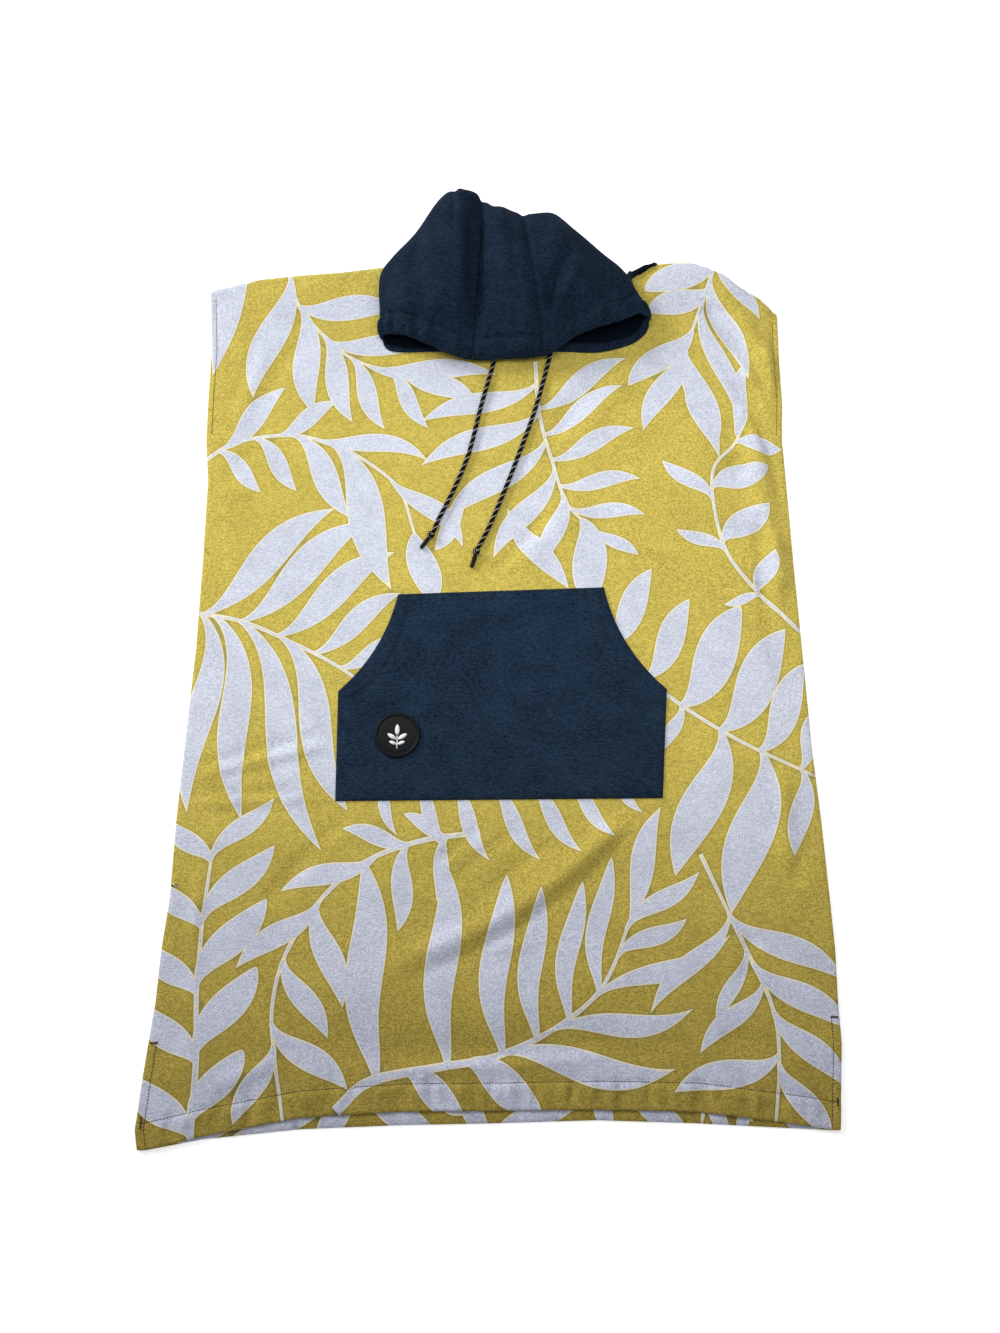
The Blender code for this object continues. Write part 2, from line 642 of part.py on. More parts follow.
def knot_and_tip(side, route):
    """The overhand knot's outer shape, and the sealed end that sticks out of it."""
    along = np.array((*CORD_ENDS[side], 0.0)) - np.array((*route[-1][:2], 0.0))
    along /= np.linalg.norm(along)
    turn = math.atan2(along[1], along[0])
    knot_at = route[-1] + along * (KNOT_SIZE[0] / 2 + SEAM_GAP)
    knot_at[2] = front_top(*knot_at[:2]) + CORD_CLEAR + KNOT_SIZE[2] / 2
    mesh = bmesh.new()
    bmesh.ops.create_uvsphere(mesh, u_segments=12, v_segments=8, radius=0.5)
    bmesh.ops.scale(mesh, verts=mesh.verts, vec=KNOT_SIZE)
    knot = finish(mesh, f"knot_{side}", surface("cord_braid", CORD_BROWN, 0.7))
    knot.location, knot.rotation_euler.z = knot_at, turn
    mesh = bmesh.new()
    bmesh.ops.create_cone(
        mesh, cap_ends=True, segments=12, radius1=TIP_RADIUS, radius2=0.85 * TIP_RADIUS, depth=TIP_LENGTH
    )
    bmesh.ops.rotate(mesh, verts=mesh.verts, matrix=Matrix.Rotation(math.pi / 2, 3, "Y"))
    tip = finish(mesh, f"tip_{side}", surface("cord_end", BLACK, 0.5))
    tip_at = knot_at + along * (KNOT_SIZE[0] / 2 + SEAM_GAP + TIP_LENGTH / 2)
    tip_at[2] = front_top(*tip_at[:2]) + CORD_CLEAR + TIP_RADIUS
    tip.location, tip.rotation_euler.z = tip_at, turn


def finish(mesh, name, material):
    data = bpy.data.meshes.new(name)
    mesh.to_mesh(data)
    mesh.free()
    data.shade_smooth()
    return keep(name, data, material)


def main():
    for old in list(bpy.data.objects):
        bpy.data.objects.remove(old, do_unlink=True)
    bpy.context.scene.collection.children.link(bpy.data.collections.new(COLLECTION))
    back_panel()
    front_panel()
    stops = hood_stops()
    for name in HOOD_SEAMS:
        hood_panel(name, stops)
    badge(pocket())
    for side in CORDS:
        route = cord_route(side)
        cord(f"drawcord_{side}", route)
        knot_and_tip(side, route)


main()
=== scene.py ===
"""Hooded bath poncho: an add-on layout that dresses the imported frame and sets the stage.

Everything is in metres, in the frame's own axes: the garment lies on z = 0, its hem towards -Y
and its hood towards +Y. Each operator makes one piece, or one group of like pieces.
"""

import math

import bmesh
import bpy
import numpy as np
from bpy.props import FloatProperty, FloatVectorProperty, IntProperty, PointerProperty
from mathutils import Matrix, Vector
from mathutils.geometry import delaunay_2d_cdt


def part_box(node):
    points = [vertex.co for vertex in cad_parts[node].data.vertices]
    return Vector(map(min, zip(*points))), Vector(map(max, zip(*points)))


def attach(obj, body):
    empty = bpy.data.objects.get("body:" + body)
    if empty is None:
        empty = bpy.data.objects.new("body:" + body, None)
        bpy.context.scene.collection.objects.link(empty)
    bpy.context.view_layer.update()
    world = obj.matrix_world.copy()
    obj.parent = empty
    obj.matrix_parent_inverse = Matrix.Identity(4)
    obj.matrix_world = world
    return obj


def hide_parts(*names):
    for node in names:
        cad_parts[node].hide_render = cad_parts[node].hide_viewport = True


bl_info = {
    "name": "Hooded bath poncho",
    "version": (1, 0, 0),
    "blender": (4, 5, 0),
    "location": "View3D > Sidebar > Poncho",
    "description": "Sews and dresses a printed towelling poncho around its packed frame",
    "category": "Add Mesh",
}

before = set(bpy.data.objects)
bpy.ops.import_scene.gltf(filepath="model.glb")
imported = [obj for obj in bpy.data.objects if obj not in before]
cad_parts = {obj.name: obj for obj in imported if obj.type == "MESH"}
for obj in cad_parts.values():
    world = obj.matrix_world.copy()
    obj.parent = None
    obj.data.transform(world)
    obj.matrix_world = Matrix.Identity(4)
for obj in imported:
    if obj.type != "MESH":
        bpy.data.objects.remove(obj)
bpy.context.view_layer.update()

# ---------------------------------------------------------------- cut of the garment

TOWELLING = 0.002
FLEECE = 0.0025
SEAM_GAP = 0.0003
HEM_DEPTH = 0.030
HEM_RISE = 0.0010
HEM_STEP = 0.006
AIR = 0.0022
AIR_EDGE = 0.045

# Stitching of the front panel: its hem's line, and how far in from the sides the others run
HEM_STITCH = (
    (-0.381, -0.5665),
    (-0.370, -0.5650),
    (-0.317, -0.5530),
    (-0.210, -0.5340),
    (-0.101, -0.5270),
    (0.008, -0.5260),
    (0.117, -0.5240),
    (0.226, -0.5260),
    (0.334, -0.5390),
    (0.376, -0.5455),
)
SLIT_TOPS = (-0.486, -0.459)
SLIT_STITCH = 0.0095
ARMHOLE_FOOT = 0.262
ARM_STITCH = 0.0072
SHOULDER_STITCHES = (0.466, 0.428)
HEM_CORNERS = (-0.374, 0.366)
CORNER_CLEAR = 0.003
LINE_STEP = 0.0036

# Side edges of both panels: height up the garment, left edge, right edge
SIDES = (
    (-0.594, -0.3815, 0.3740),
    (-0.573, -0.3860, 0.3755),
    (-0.523, -0.3830, 0.3810),
    (-0.486, -0.3800, 0.3850),
    (-0.440, -0.3760, 0.3850),
    (-0.386, -0.3750, 0.3870),
    (-0.330, -0.3705, 0.3860),
    (-0.240, -0.3710, 0.3840),
    (-0.157, -0.3690, 0.3805),
    (-0.030, -0.3655, 0.3790),
    (0.086, -0.3665, 0.3775),
    (0.197, -0.3690, 0.3770),
    (0.255, -0.3760, 0.3765),
    (0.310, -0.3780, 0.3810),
    (0.389, -0.3795, 0.3820),
    (0.452, -0.3850, 0.3835),
    (0.480, -0.3875, 0.3840),
)
LEFT, RIGHT = 1, 2

# Hems: place across, front hem, back hem
HEMS = (
    (-0.380, -0.5930, -0.5940),
    (-0.315, -0.5800, -0.5830),
    (-0.208, -0.5610, -0.5730),
    (-0.100, -0.5550, -0.5690),
    (0.008, -0.5540, -0.5670),
    (0.116, -0.5530, -0.5640),
    (0.225, -0.5550, -0.5670),
    (0.332, -0.5670, -0.5720),
    (0.374, -0.5730, -0.5740),
)

# Shoulders: place across, ridge, height of the ridge
SHOULDERS = (
    (-0.388, 0.4764, 0.0020),
    (-0.361, 0.4836, 0.0030),
    (-0.320, 0.4940, 0.0040),
    (-0.266, 0.4997, 0.0050),
    (-0.211, 0.5037, 0.0060),
    (-0.156, 0.5114, 0.0060),
    (-0.100, 0.5110, 0.0040),
    (0.035, 0.5080, 0.0000),
    (0.120, 0.5030, 0.0040),
    (0.182, 0.5040, 0.0100),
    (0.199, 0.5087, 0.0120),
    (0.218, 0.5104, 0.0140),
    (0.246, 0.5120, 0.0160),
    (0.273, 0.5097, 0.0170),
    (0.294, 0.5017, 0.0170),
    (0.313, 0.4929, 0.0160),
    (0.333, 0.4762, 0.0130),
    (0.360, 0.4609, 0.0080),
    (0.384, 0.4380, 0.0030),
)
RIDGE, RISE = 1, 2
ROLL_OF_HEIGHT = 0.35
ROLL_LEAST = 0.003
SHOULDER_REACH = 0.085

# Neck opening: place across, neck edge of the front panel, neck edge of the back panel
NECK = (
    (-0.147, 0.5114, 0.5114),
    (-0.125, 0.4880, 0.5010),
    (-0.085, 0.4540, 0.4880),
    (-0.025, 0.4300, 0.4790),
    (0.035, 0.4240, 0.4760),
    (0.095, 0.4320, 0.4790),
    (0.145, 0.4600, 0.4870),
    (0.170, 0.4830, 0.4940),
    (0.185, 0.4955, 0.5000),
    (0.200, 0.5030, 0.5070),
    (0.222, 0.5178, 0.5178),
)
FRONT, BACK = 1, 2
NECK_LAP = 0.004

# Folds of the front panel: start, middle and end across and up, half width, height, fade at the ends
FOLDS = {
    "ridge_under_pocket": (0.165, -0.222, 0.040, -0.335, -0.132, -0.408, 0.017, 0.0060, 0.18),
    "packing_crease_upper": (-0.372, -0.197, -0.276, -0.181, -0.190, -0.157, 0.012, -0.0012, 0.20),
    "packing_crease_lower": (-0.374, -0.229, -0.285, -0.222, -0.192, -0.213, 0.012, -0.0012, 0.20),
    "band_between_creases": (-0.340, -0.211, -0.280, -0.203, -0.215, -0.188, 0.016, 0.0010, 0.25),
    "swell_above_hem": (-0.300, -0.440, -0.060, -0.430, 0.210, -0.440, 0.045, 0.0030, 0.30),
    "trough_above_hem": (-0.260, -0.497, -0.060, -0.488, 0.240, -0.492, 0.020, -0.0020, 0.25),
    "right_side_valley": (0.318, 0.330, 0.326, 0.180, 0.344, 0.050, 0.022, -0.0022, 0.25),
    "right_edge_ridge": (0.352, 0.400, 0.354, 0.300, 0.358, 0.160, 0.016, 0.0030, 0.30),
    "right_shoulder_tuck": (0.318, 0.480, 0.341, 0.450, 0.356, 0.405, 0.012, -0.0040, 0.30),
    "right_breast_swell": (0.246, 0.330, 0.262, 0.180, 0.245, 0.020, 0.070, 0.0030, 0.35),
    "slit_pull_right": (0.318, -0.440, 0.352, -0.466, 0.378, -0.486, 0.014, -0.0016, 0.30),
    "slit_pull_left": (-0.336, -0.440, -0.350, -0.478, -0.374, -0.500, 0.014, -0.0016, 0.30),
}

# Finer creases of the front panel, in the same order
FINE_CREASES = {
    "from_neck": (0.171, 0.374, 0.111, 0.311, 0.066, 0.238, 0.0085, -0.0019, 0.25),
    "below_cords": (0.085, 0.167, 0.027, 0.098, -0.019, 0.051, 0.0075, -0.0012, 0.30),
    "right_shoulder_high": (0.280, 0.464, 0.332, 0.394, 0.370, 0.311, 0.0080, -0.0054, 0.20),
    "right_shoulder_low": (0.296, 0.394, 0.349, 0.281, 0.373, 0.146, 0.0080, -0.0050, 0.20),
    "right_armhole_strip": (0.362, 0.409, 0.366, 0.356, 0.368, 0.303, 0.0080, 0.0032, 0.30),
    "right_dimple": (0.306, 0.231, 0.318, 0.216, 0.330, 0.201, 0.0095, -0.0036, 0.40),
    "right_side_strip": (0.355, 0.132, 0.358, 0.085, 0.364, 0.038, 0.0080, 0.0022, 0.30),
    "right_side_line": (0.340, 0.167, 0.340, 0.018, 0.366, -0.097, 0.0080, -0.0036, 0.20),
    "right_side_low": (0.343, -0.170, 0.341, -0.241, 0.341, -0.309, 0.0090, 0.0014, 0.30),
    "right_side_nick": (0.342, -0.315, 0.357, -0.291, 0.372, -0.261, 0.0070, -0.0022, 0.35),
    "left_breast_tuck": (-0.350, 0.198, -0.328, 0.221, -0.300, 0.244, 0.0075, -0.0025, 0.35),
    "left_breast_line": (-0.310, 0.433, -0.333, 0.348, -0.352, 0.267, 0.0080, -0.0009, 0.30),
    "left_breast_fall": (-0.255, 0.425, -0.285, 0.352, -0.322, 0.285, 0.0090, -0.0008, 0.30),
    "left_edge_band": (-0.361, 0.184, -0.330, 0.178, -0.296, 0.170, 0.0075, 0.0012, 0.40),
    "packed_line_a": (-0.359, -0.177, -0.275, -0.157, -0.189, -0.136, 0.0065, -0.0012, 0.20),
    "packed_band": (-0.358, -0.190, -0.274, -0.170, -0.189, -0.149, 0.0070, 0.0014, 0.20),
    "packed_line_b": (-0.362, -0.211, -0.297, -0.209, -0.225, -0.206, 0.0060, -0.0013, 0.20),
    "packed_edge": (-0.361, -0.222, -0.271, -0.218, -0.180, -0.214, 0.0060, 0.0014, 0.20),
    "left_of_ridge": (-0.160, -0.222, -0.228, -0.298, -0.265, -0.343, 0.0080, -0.0017, 0.30),
    "small_pull_a": (-0.061, -0.320, -0.004, -0.275, 0.043, -0.241, 0.0070, -0.0010, 0.35),
    "small_pull_b": (-0.026, -0.337, 0.031, -0.293, 0.078, -0.261, 0.0070, -0.0009, 0.35),
    "small_pull_c": (-0.089, -0.309, -0.044, -0.273, -0.004, -0.243, 0.0070, -0.0008, 0.35),
    "ridge_crest": (0.166, -0.223, 0.037, -0.332, -0.138, -0.408, 0.0080, 0.0012, 0.20),
    "ridge_foot": (0.171, -0.238, 0.042, -0.351, -0.115, -0.422, 0.0070, -0.0013, 0.20),
    "short_ridge": (-0.010, -0.386, 0.022, -0.384, 0.056, -0.381, 0.0075, 0.0012, 0.40),
    "hem_trough": (-0.133, -0.498, -0.003, -0.493, 0.125, -0.487, 0.0075, -0.0016, 0.20),
    "hem_crest": (-0.122, -0.514, 0.008, -0.507, 0.135, -0.498, 0.0075, 0.0013, 0.20),
    "hem_trough_end": (0.110, -0.480, 0.140, -0.492, 0.170, -0.505, 0.0070, -0.0013, 0.35),
    "hem_left_lift": (-0.315, -0.535, -0.270, -0.517, -0.225, -0.502, 0.0090, 0.0014, 0.35),
    "left_side_line": (-0.356, -0.240, -0.353, -0.366, -0.352, -0.492, 0.0065, -0.0014, 0.20),
    "left_side_strip": (-0.341, -0.290, -0.339, -0.343, -0.339, -0.390, 0.0070, 0.0011, 0.30),
    "right_low_upright": (0.291, -0.362, 0.288, -0.395, 0.280, -0.428, 0.0070, -0.0014, 0.35),
    "right_low_slant": (0.305, -0.420, 0.341, -0.448, 0.372, -0.471, 0.0070, -0.0015, 0.30),
    "right_side_swell": (0.334, 0.320, 0.343, 0.150, 0.349, -0.030, 0.019, 0.0026, 0.30),
    "right_shoulder_swell": (0.330, 0.455, 0.346, 0.400, 0.352, 0.330, 0.014, 0.0022, 0.30),
    "breast_swell": (0.120, 0.170, 0.060, 0.110, 0.015, 0.050, 0.016, 0.0012, 0.35),
    "neck_swell": (0.195, 0.355, 0.140, 0.300, 0.095, 0.225, 0.016, 0.0014, 0.35),
    "left_fall_bank": (-0.300, 0.405, -0.320, 0.335, -0.344, 0.262, 0.012, 0.0010, 0.35),
    "right_low_hollow": (0.245, -0.477, 0.291, -0.490, 0.336, -0.500, 0.0110, -0.0017, 0.30),
}
CREASE_STRENGTH = 2.7
# Short tucks across the hem: place across, lean, depth, share of the hem they reach up
HEM_TUCKS = (
    (-0.352, 0.10, -0.0010, 0.9),
    (-0.331, -0.05, 0.0008, 0.7),
    (-0.303, 0.20, -0.0013, 1.1),
    (-0.283, 0.00, 0.0007, 0.8),
    (-0.259, -0.15, -0.0009, 0.9),
    (-0.236, 0.10, -0.0012, 1.2),
    (-0.205, 0.00, 0.0009, 0.8),
    (-0.181, 0.25, -0.0014, 1.3),
    (-0.149, -0.10, -0.0008, 0.9),
    (-0.124, 0.05, 0.0009, 1.0),
    (-0.097, 0.15, -0.0011, 0.9),
    (-0.062, -0.20, -0.0013, 1.2),
    (-0.035, 0.00, 0.0008, 0.8),
    (-0.004, 0.10, -0.0010, 1.0),
    (0.021, -0.10, 0.0009, 0.9),
    (0.047, 0.00, -0.0014, 1.3),
    (0.083, 0.20, -0.0009, 0.8),
    (0.108, 0.00, 0.0010, 1.1),
    (0.142, -0.15, -0.0012, 1.2),
    (0.169, 0.05, -0.0009, 0.8),
    (0.198, 0.00, 0.0009, 1.0),
    (0.229, 0.15, -0.0013, 1.2),
    (0.251, -0.10, -0.0008, 0.8),
    (0.286, 0.00, 0.0010, 0.9),
    (0.312, 0.10, -0.0012, 1.1),
    (0.340, -0.05, -0.0009, 0.9),
)
TUCK_WIDTH = 0.0042
TUCK_STRENGTH = 3.0
# Pulls along the hems: from one to the next, start, height
HEM_PULLS = ((0.067, 0.30, 0.00055), (0.041, 0.10, 0.00055), (0.027, 0.45, 0.00055), (0.0173, 0.80, 0.00036))
STITCH_GROOVE = 0.0013
GROOVE_WIDTH = 0.0024

# Where the front panel's fine relief fades out, and how far above the hem its pulls and tucks are
CREASE_REACH = 2.6  # in half widths of the crease
CREASES_FROM_SIDE = 0.014
CREASES_FROM_HEM = 0.012
RELIEF_FADE = 0.02
UNDER_HOOD_FROM = 0.375
UNDER_HOOD_HALF_WIDTH = 0.19
PULLS_ABOVE_HEM, PULLS_REACH = 0.016, 0.017
TUCKS_ABOVE_HEM, TUCKS_REACH = 0.020, 0.013
ARM_FADE = 0.01

# Pocket corners and the pull of its two curved hand openings
POCKET_TOP_LEFT = (-0.1188, 0.0392)
POCKET_TOP_RIGHT = (0.1375, 0.0485)
POCKET_SIDE_LEFT = (-0.1878, -0.0853)
POCKET_SIDE_RIGHT = (0.2100, -0.0828)
POCKET_BOTTOM_LEFT = (-0.1854, -0.2185)
POCKET_BOTTOM_RIGHT = (0.1992, -0.2150)
HAND_PULL_LEFT = (-0.1347, -0.0370)
HAND_PULL_RIGHT = (0.1520, -0.0300)
POCKET_PUFF = 0.0018
PUFF_REACH, PUFF_ROUND = 0.09, 0.6
SKIRT = 0.004  # the pocket's edge is rounded over this width
SKIRT_LEAST = 0.12  # of the thickness, at the very edge
OVER_TOP_HEM = 0.006
SEWN_CLEAR = 0.004  # the line that sews the pocket on stops this far from its corners
NEAR_EDGE = (0.0, 0.004, 0.011, 0.021)  # shares at which the pocket's grid is closer together
NEAR_SIDE = 0.45  # of those shares, at its two sides
POCKET_GRID = (44, 72, 110)  # rows below the hand openings, rows beside them, columns
HAND_HEM_FADE = 0.003
POCKET_PULL_REACH = 0.020
POCKET_PULL_LEAN = 0.4
SEWN_GROOVE = 0.6
POCKET_CLEAR = 0.0005
CALM_MARGIN = 0.035

# Stitch lines that hold the turned hems of the hand openings, from the top down
POCKET_HEM_LEFT = (
    (-0.1042, 0.0392),
    (-0.1067, 0.0087),
    (-0.1203, -0.0338),
    (-0.1376, -0.0655),
    (-0.1600, -0.0870),
    (-0.1875, -0.1015),
)
POCKET_HEM_RIGHT = (
    (0.1165, 0.0478),
    (0.1270, -0.0146),
    (0.1443, -0.0529),
    (0.1675, -0.0843),
    (0.2090, -0.1115),
)
TURNED_HEM = 0.0008

TACK_STROKES = 9
TACK_POINTS = 33
TACK_THREAD = 1.1  # times the radius of the other thread
# Bartacks of the front panel: middle across and up, heading, length, width
FRONT_TACKS = (
    (-0.3735, -0.4850, 4, 0.0080, 0.0020),
    (0.3790, -0.4580, -4, 0.0080, 0.0020),
    (-0.3800, -0.5660, 92, 0.0120, 0.0018),
    (0.3745, -0.5450, 84, 0.0080, 0.0018),
    (-0.3660, -0.3150, 2, 0.0070, 0.0018),
)
THREAD_END = ((-0.3690, -0.3135), (-0.3660, -0.3150), (-0.3635, -0.3160), (-0.3610, -0.3155))
THREAD_END_CLEAR, THREAD_END_RADIUS = 0.0006, 0.0005
THREAD_STANDS = 0.3  # of its radius, off the cloth
EDGE_STITCH = 0.0032
POCKET_PULLS = ((0.053, 0.20, 0.00022), (0.031, 0.60, 0.00020), (0.019, 0.35, 0.00012))

BADGE_CENTRE = (-0.1141, -0.1406)
SPRIG_BASE = 0.0027
SPRIG_SUNK, SPRIG_RAISED = 0.0006, 0.0004
STALK_HALF_WIDTH = 0.0006

# Hood sections, from the throat round by the right: face edge, crest, height of the top, neck stop
HOOD_ROWS = (
    # name            face x   face y   face z   crest x  crest y  crest z  top z    neck x   layer
    ("throat", 0.033, 0.3840, 0.0046, 0.033, 0.400, 0.0046, 0.0046, 0.033, "front"),
    ("lip_r1", 0.090, 0.3850, 0.0046, 0.092, 0.410, 0.0046, 0.0046, 0.095, "front"),
    ("lip_r2", 0.140, 0.3840, 0.0046, 0.140, 0.425, 0.0046, 0.0046, 0.145, "front"),
    ("lip_r3", 0.183, 0.3960, 0.0050, 0.180, 0.435, 0.0060, 0.0060, 0.185, "front"),
    ("corner_r1", 0.2030, 0.4120, 0.0070, 0.1920, 0.4480, 0.0120, 0.0100, 0.170, "side"),
    ("corner_r2", 0.2080, 0.4220, 0.0150, 0.1975, 0.4580, 0.0180, 0.0180, 0.192, "side"),
    ("fold_r", 0.2075, 0.4280, 0.0240, 0.1930, 0.4640, 0.0240, 0.0250, 0.2215, "side"),
    ("brow_r5", 0.1920, 0.4270, 0.0320, 0.1840, 0.4750, 0.0310, 0.0340, 0.197, "back"),
    ("brow_r4", 0.1650, 0.4120, 0.0370, 0.1690, 0.4910, 0.0400, 0.0430, 0.178, "back"),
    ("brow_r3", 0.1380, 0.4030, 0.0370, 0.1450, 0.5050, 0.0500, 0.0540, 0.135, "back"),
    ("brow_r2", 0.1080, 0.3920, 0.0320, 0.1100, 0.5310, 0.0610, 0.0680, 0.105, "back"),
    ("brow_r1", 0.0830, 0.3760, 0.0250, 0.0760, 0.5540, 0.0680, 0.0780, 0.078, "back"),
    ("seam_r", 0.0635, 0.3685, 0.0210, 0.0390, 0.5520, 0.0690, 0.0830, 0.050, "back"),
    ("centre", 0.0200, 0.3665, 0.0190, 0.0120, 0.5610, 0.0700, 0.0800, 0.022, "back"),
    ("seam_l", -0.0280, 0.3653, 0.0190, -0.0160, 0.5720, 0.0740, 0.0700, -0.008, "back"),
    ("brow_l1", -0.0580, 0.3705, 0.0240, -0.0450, 0.5824, 0.0780, 0.0760, -0.035, "back"),
    ("brow_l2", -0.0880, 0.3825, 0.0290, -0.0735, 0.5715, 0.0700, 0.0720, -0.062, "back"),
    ("brow_l3", -0.1150, 0.3940, 0.0300, -0.1050, 0.5310, 0.0570, 0.0590, -0.085, "back"),
    ("brow_l4", -0.1360, 0.4005, 0.0250, -0.1350, 0.5030, 0.0460, 0.0440, -0.108, "back"),
    ("corner_l2", -0.1490, 0.4020, 0.0190, -0.1530, 0.4810, 0.0340, 0.0290, -0.136, "side"),
    ("corner_l1", -0.1500, 0.3990, 0.0100, -0.1500, 0.4500, 0.0160, 0.0150, -0.132, "side"),
    ("lip_l2", -0.1330, 0.3850, 0.0046, -0.1250, 0.4250, 0.0046, 0.0046, -0.110, "front"),
    ("lip_l1", -0.0650, 0.3850, 0.0046, -0.0550, 0.4100, 0.0046, 0.0046, -0.040, "front"),
)
HOOD_TURNS = {
    "corner_r2": ((0.1830, 0.4740, 0.0170), (0.1840, 0.4880, 0.0180)),
    "fold_r": ((0.1850, 0.4880, 0.0210), (0.2030, 0.5030, 0.0195)),
    "brow_r5": ((0.1830, 0.4990, 0.0225), (0.1900, 0.5080, 0.0050)),
}

# Folds of the hood: from row and stop, to row and stop, half width in rows, height
HOOD_FOLDS = {
    "valley_by_left_seam": (14.15, 3.1, 13.9, 0.9, 0.45, -0.0060),
    "tuck_at_left_crest": (15.0, 3.4, 15.2, 2.3, 0.45, 0.0040),
    "swell_of_centre": (13.2, 2.9, 13.2, 1.2, 0.40, 0.0035),
    "soft_fold_right": (11.0, 2.7, 9.2, 0.9, 0.45, 0.0035),
    "dip_right_of_seam": (11.9, 2.4, 10.8, 0.9, 0.40, -0.0030),
}
# Finer creases of the hood, in the same order
HOOD_CREASES = {
    "deep_by_left_seam": (14.25, 2.60, 14.10, 1.40, 0.30, -0.0085),
    "crest_fill": (14.35, 3.3, 14.30, 2.9, 0.34, 0.0050),
    "peak_trim": (14.85, 3.4, 14.85, 2.9, 0.30, -0.0018),
    "bank_by_left_seam": (14.80, 2.5, 14.65, 1.4, 0.28, 0.0034),
    "crest_nick": (15.30, 3.3, 15.22, 2.4, 0.16, -0.0036),
    "left_of_nick": (15.75, 3.2, 15.70, 2.5, 0.40, 0.0010),
    "crest_trim": (13.45, 3.4, 13.40, 2.9, 0.34, -0.0044),
    "centre_swell": (13.25, 2.5, 13.10, 1.8, 0.36, 0.0034),
    "centre_hollow": (13.40, 1.50, 13.25, 0.80, 0.34, -0.0045),
    "right_of_centre": (12.45, 2.2, 12.40, 0.9, 0.22, 0.0026),
    "right_slant": (10.35, 2.10, 11.35, 1.15, 0.22, -0.0055),
    "right_slant_bank": (9.95, 1.85, 10.95, 0.95, 0.30, 0.0042),
    "right_lobe_hollow": (11.30, 2.8, 11.55, 1.9, 0.34, -0.0036),
    "right_brow_pull": (8.6, 1.7, 9.6, 0.95, 0.24, -0.0030),
    "right_brow_bank": (8.1, 1.4, 8.9, 0.85, 0.26, 0.0024),
    "left_brow_pull": (16.9, 2.3, 16.2, 1.1, 0.32, -0.0042),
    "left_brow_bank": (17.6, 2.1, 17.0, 1.1, 0.32, 0.0032),
    "left_side_hollow": (18.6, 1.9, 18.1, 1.0, 0.34, -0.0028),
}
STANDING_ROWS = (4.2, 20.6)
STANDING_FADE = 1.2
HOOD_SEAM_DIP = 0.0026
HOOD_SEAM_WIDTH = 0.15
CASING_BULGE = 0.0032
CASING_ROUND = 0.7  # under 1, the casing's bulge is steeper at its two sides
CASING_PULLS_AT, CASING_PULLS_REACH = 0.45, 0.8  # in widths of the casing
CASING_SEWN = (4.8, 20.2)  # between these rows
CASING_PULLS = ((1.13, 0.10, 0.00150), (0.71, 0.55, 0.00120), (0.43, 0.20, 0.00070))
# Painted shade of the hood: the share of it that lies evenly over its outer face, and where it darkens the
# inner side in the cavity
OUTER_SHADE_SHARE = 0.32
CAVITY_SHADE_RIGHT = 0.0085  # painted shade darkens the hood's inner side from this far behind its edge
CAVITY_SHADE_LEFT = 0.0010
CAVITY_SHADE_REACH = 0.0060
CAVITY_SHADE_TURNS, CAVITY_SHADE_FADE = 17.5, 2.0  # from right to left at this row, over so many rows
HOOD_MIDDLE = (0.030, 0.450)
REAR_BULGE = 0.006
REAR_HEIGHT = 0.42
HEEL_INSET = 0.35
HEEL_FROM = 0.045
BROW_SHARE = 0.24
BROW_HEIGHT = 0.62
TOP_SHARE = 0.60
FRONT_EDGE_KEEP = 0.016
BACK_EDGE_KEEP = 0.030
SLOPE_CLEAR = 0.0022
NUDGE = 0.03
SECTION_SPACING = 0.020
SEAM_TRIM = 0.45  # of the seam gap, taken off each panel
NEAR_SEAM = (0.035, 0.07, 0.11)  # extra rows beside a seam
BROW_ROWS, REST_ROWS = 25, 56  # across the first section of the hood, and across the others
HOOD_SEAMS = {
    "hood_right": ("throat", "seam_r"),
    "hood_centre": ("seam_r", "seam_l"),
    "hood_left": ("seam_l", "throat"),
}

# Drawcords, from the throat to the knot: across and up
CORDS = {
    "left": (
        (0.0020, 0.3834),
        (-0.0010, 0.3640),
        (-0.0160, 0.3050),
        (-0.0310, 0.2378),
        (-0.0440, 0.1990),
        (-0.0575, 0.1665),
        (-0.0695, 0.1405),
        (-0.0765, 0.1215),
    ),
    "right": (
        (0.0760, 0.3834),
        (0.0755, 0.3790),
        (0.0540, 0.2961),
        (0.0330, 0.2330),
        (0.0144, 0.1809),
        (-0.0022, 0.1377),
        (-0.0130, 0.1135),
        (-0.0205, 0.0995),
    ),
}
CORD_ENDS = {"left": (-0.0928, 0.0985), "right": (-0.0283, 0.0716)}
CORD_RADIUS = 0.00275
CORD_CLEAR = 0.0006
CORD_SAMPLES = 300
KNOT_SIZE = (0.0095, 0.0085, 0.0085)
KNOT_STRAND = 0.0019
KNOT_LOOP = (0.0026, 0.0030, 0.0007, 0.0024)  # its swing along, across, its third wave across, up
KNOT_POINTS = 60
TIP_HIDDEN = 0.0008  # of the sealed end, inside the knot
TIP_OVER = 0.001  # its length over the solid's, to make up for that
# Sealed end: share along it, share of its radius
TIP_PROFILE = ((0, 0.75), (0.08, 0.95), (0.3, 1.0), (0.6, 0.92), (0.85, 0.90), (0.96, 0.86), (1.0, 0.55))
CORD_POINTS = 120
CORD_SIDES, KNOT_SIDES = 14, 10
TIP_RADIUS = 0.0027
TIP_LENGTH = 0.0165

# ---------------------------------------------------------------- print

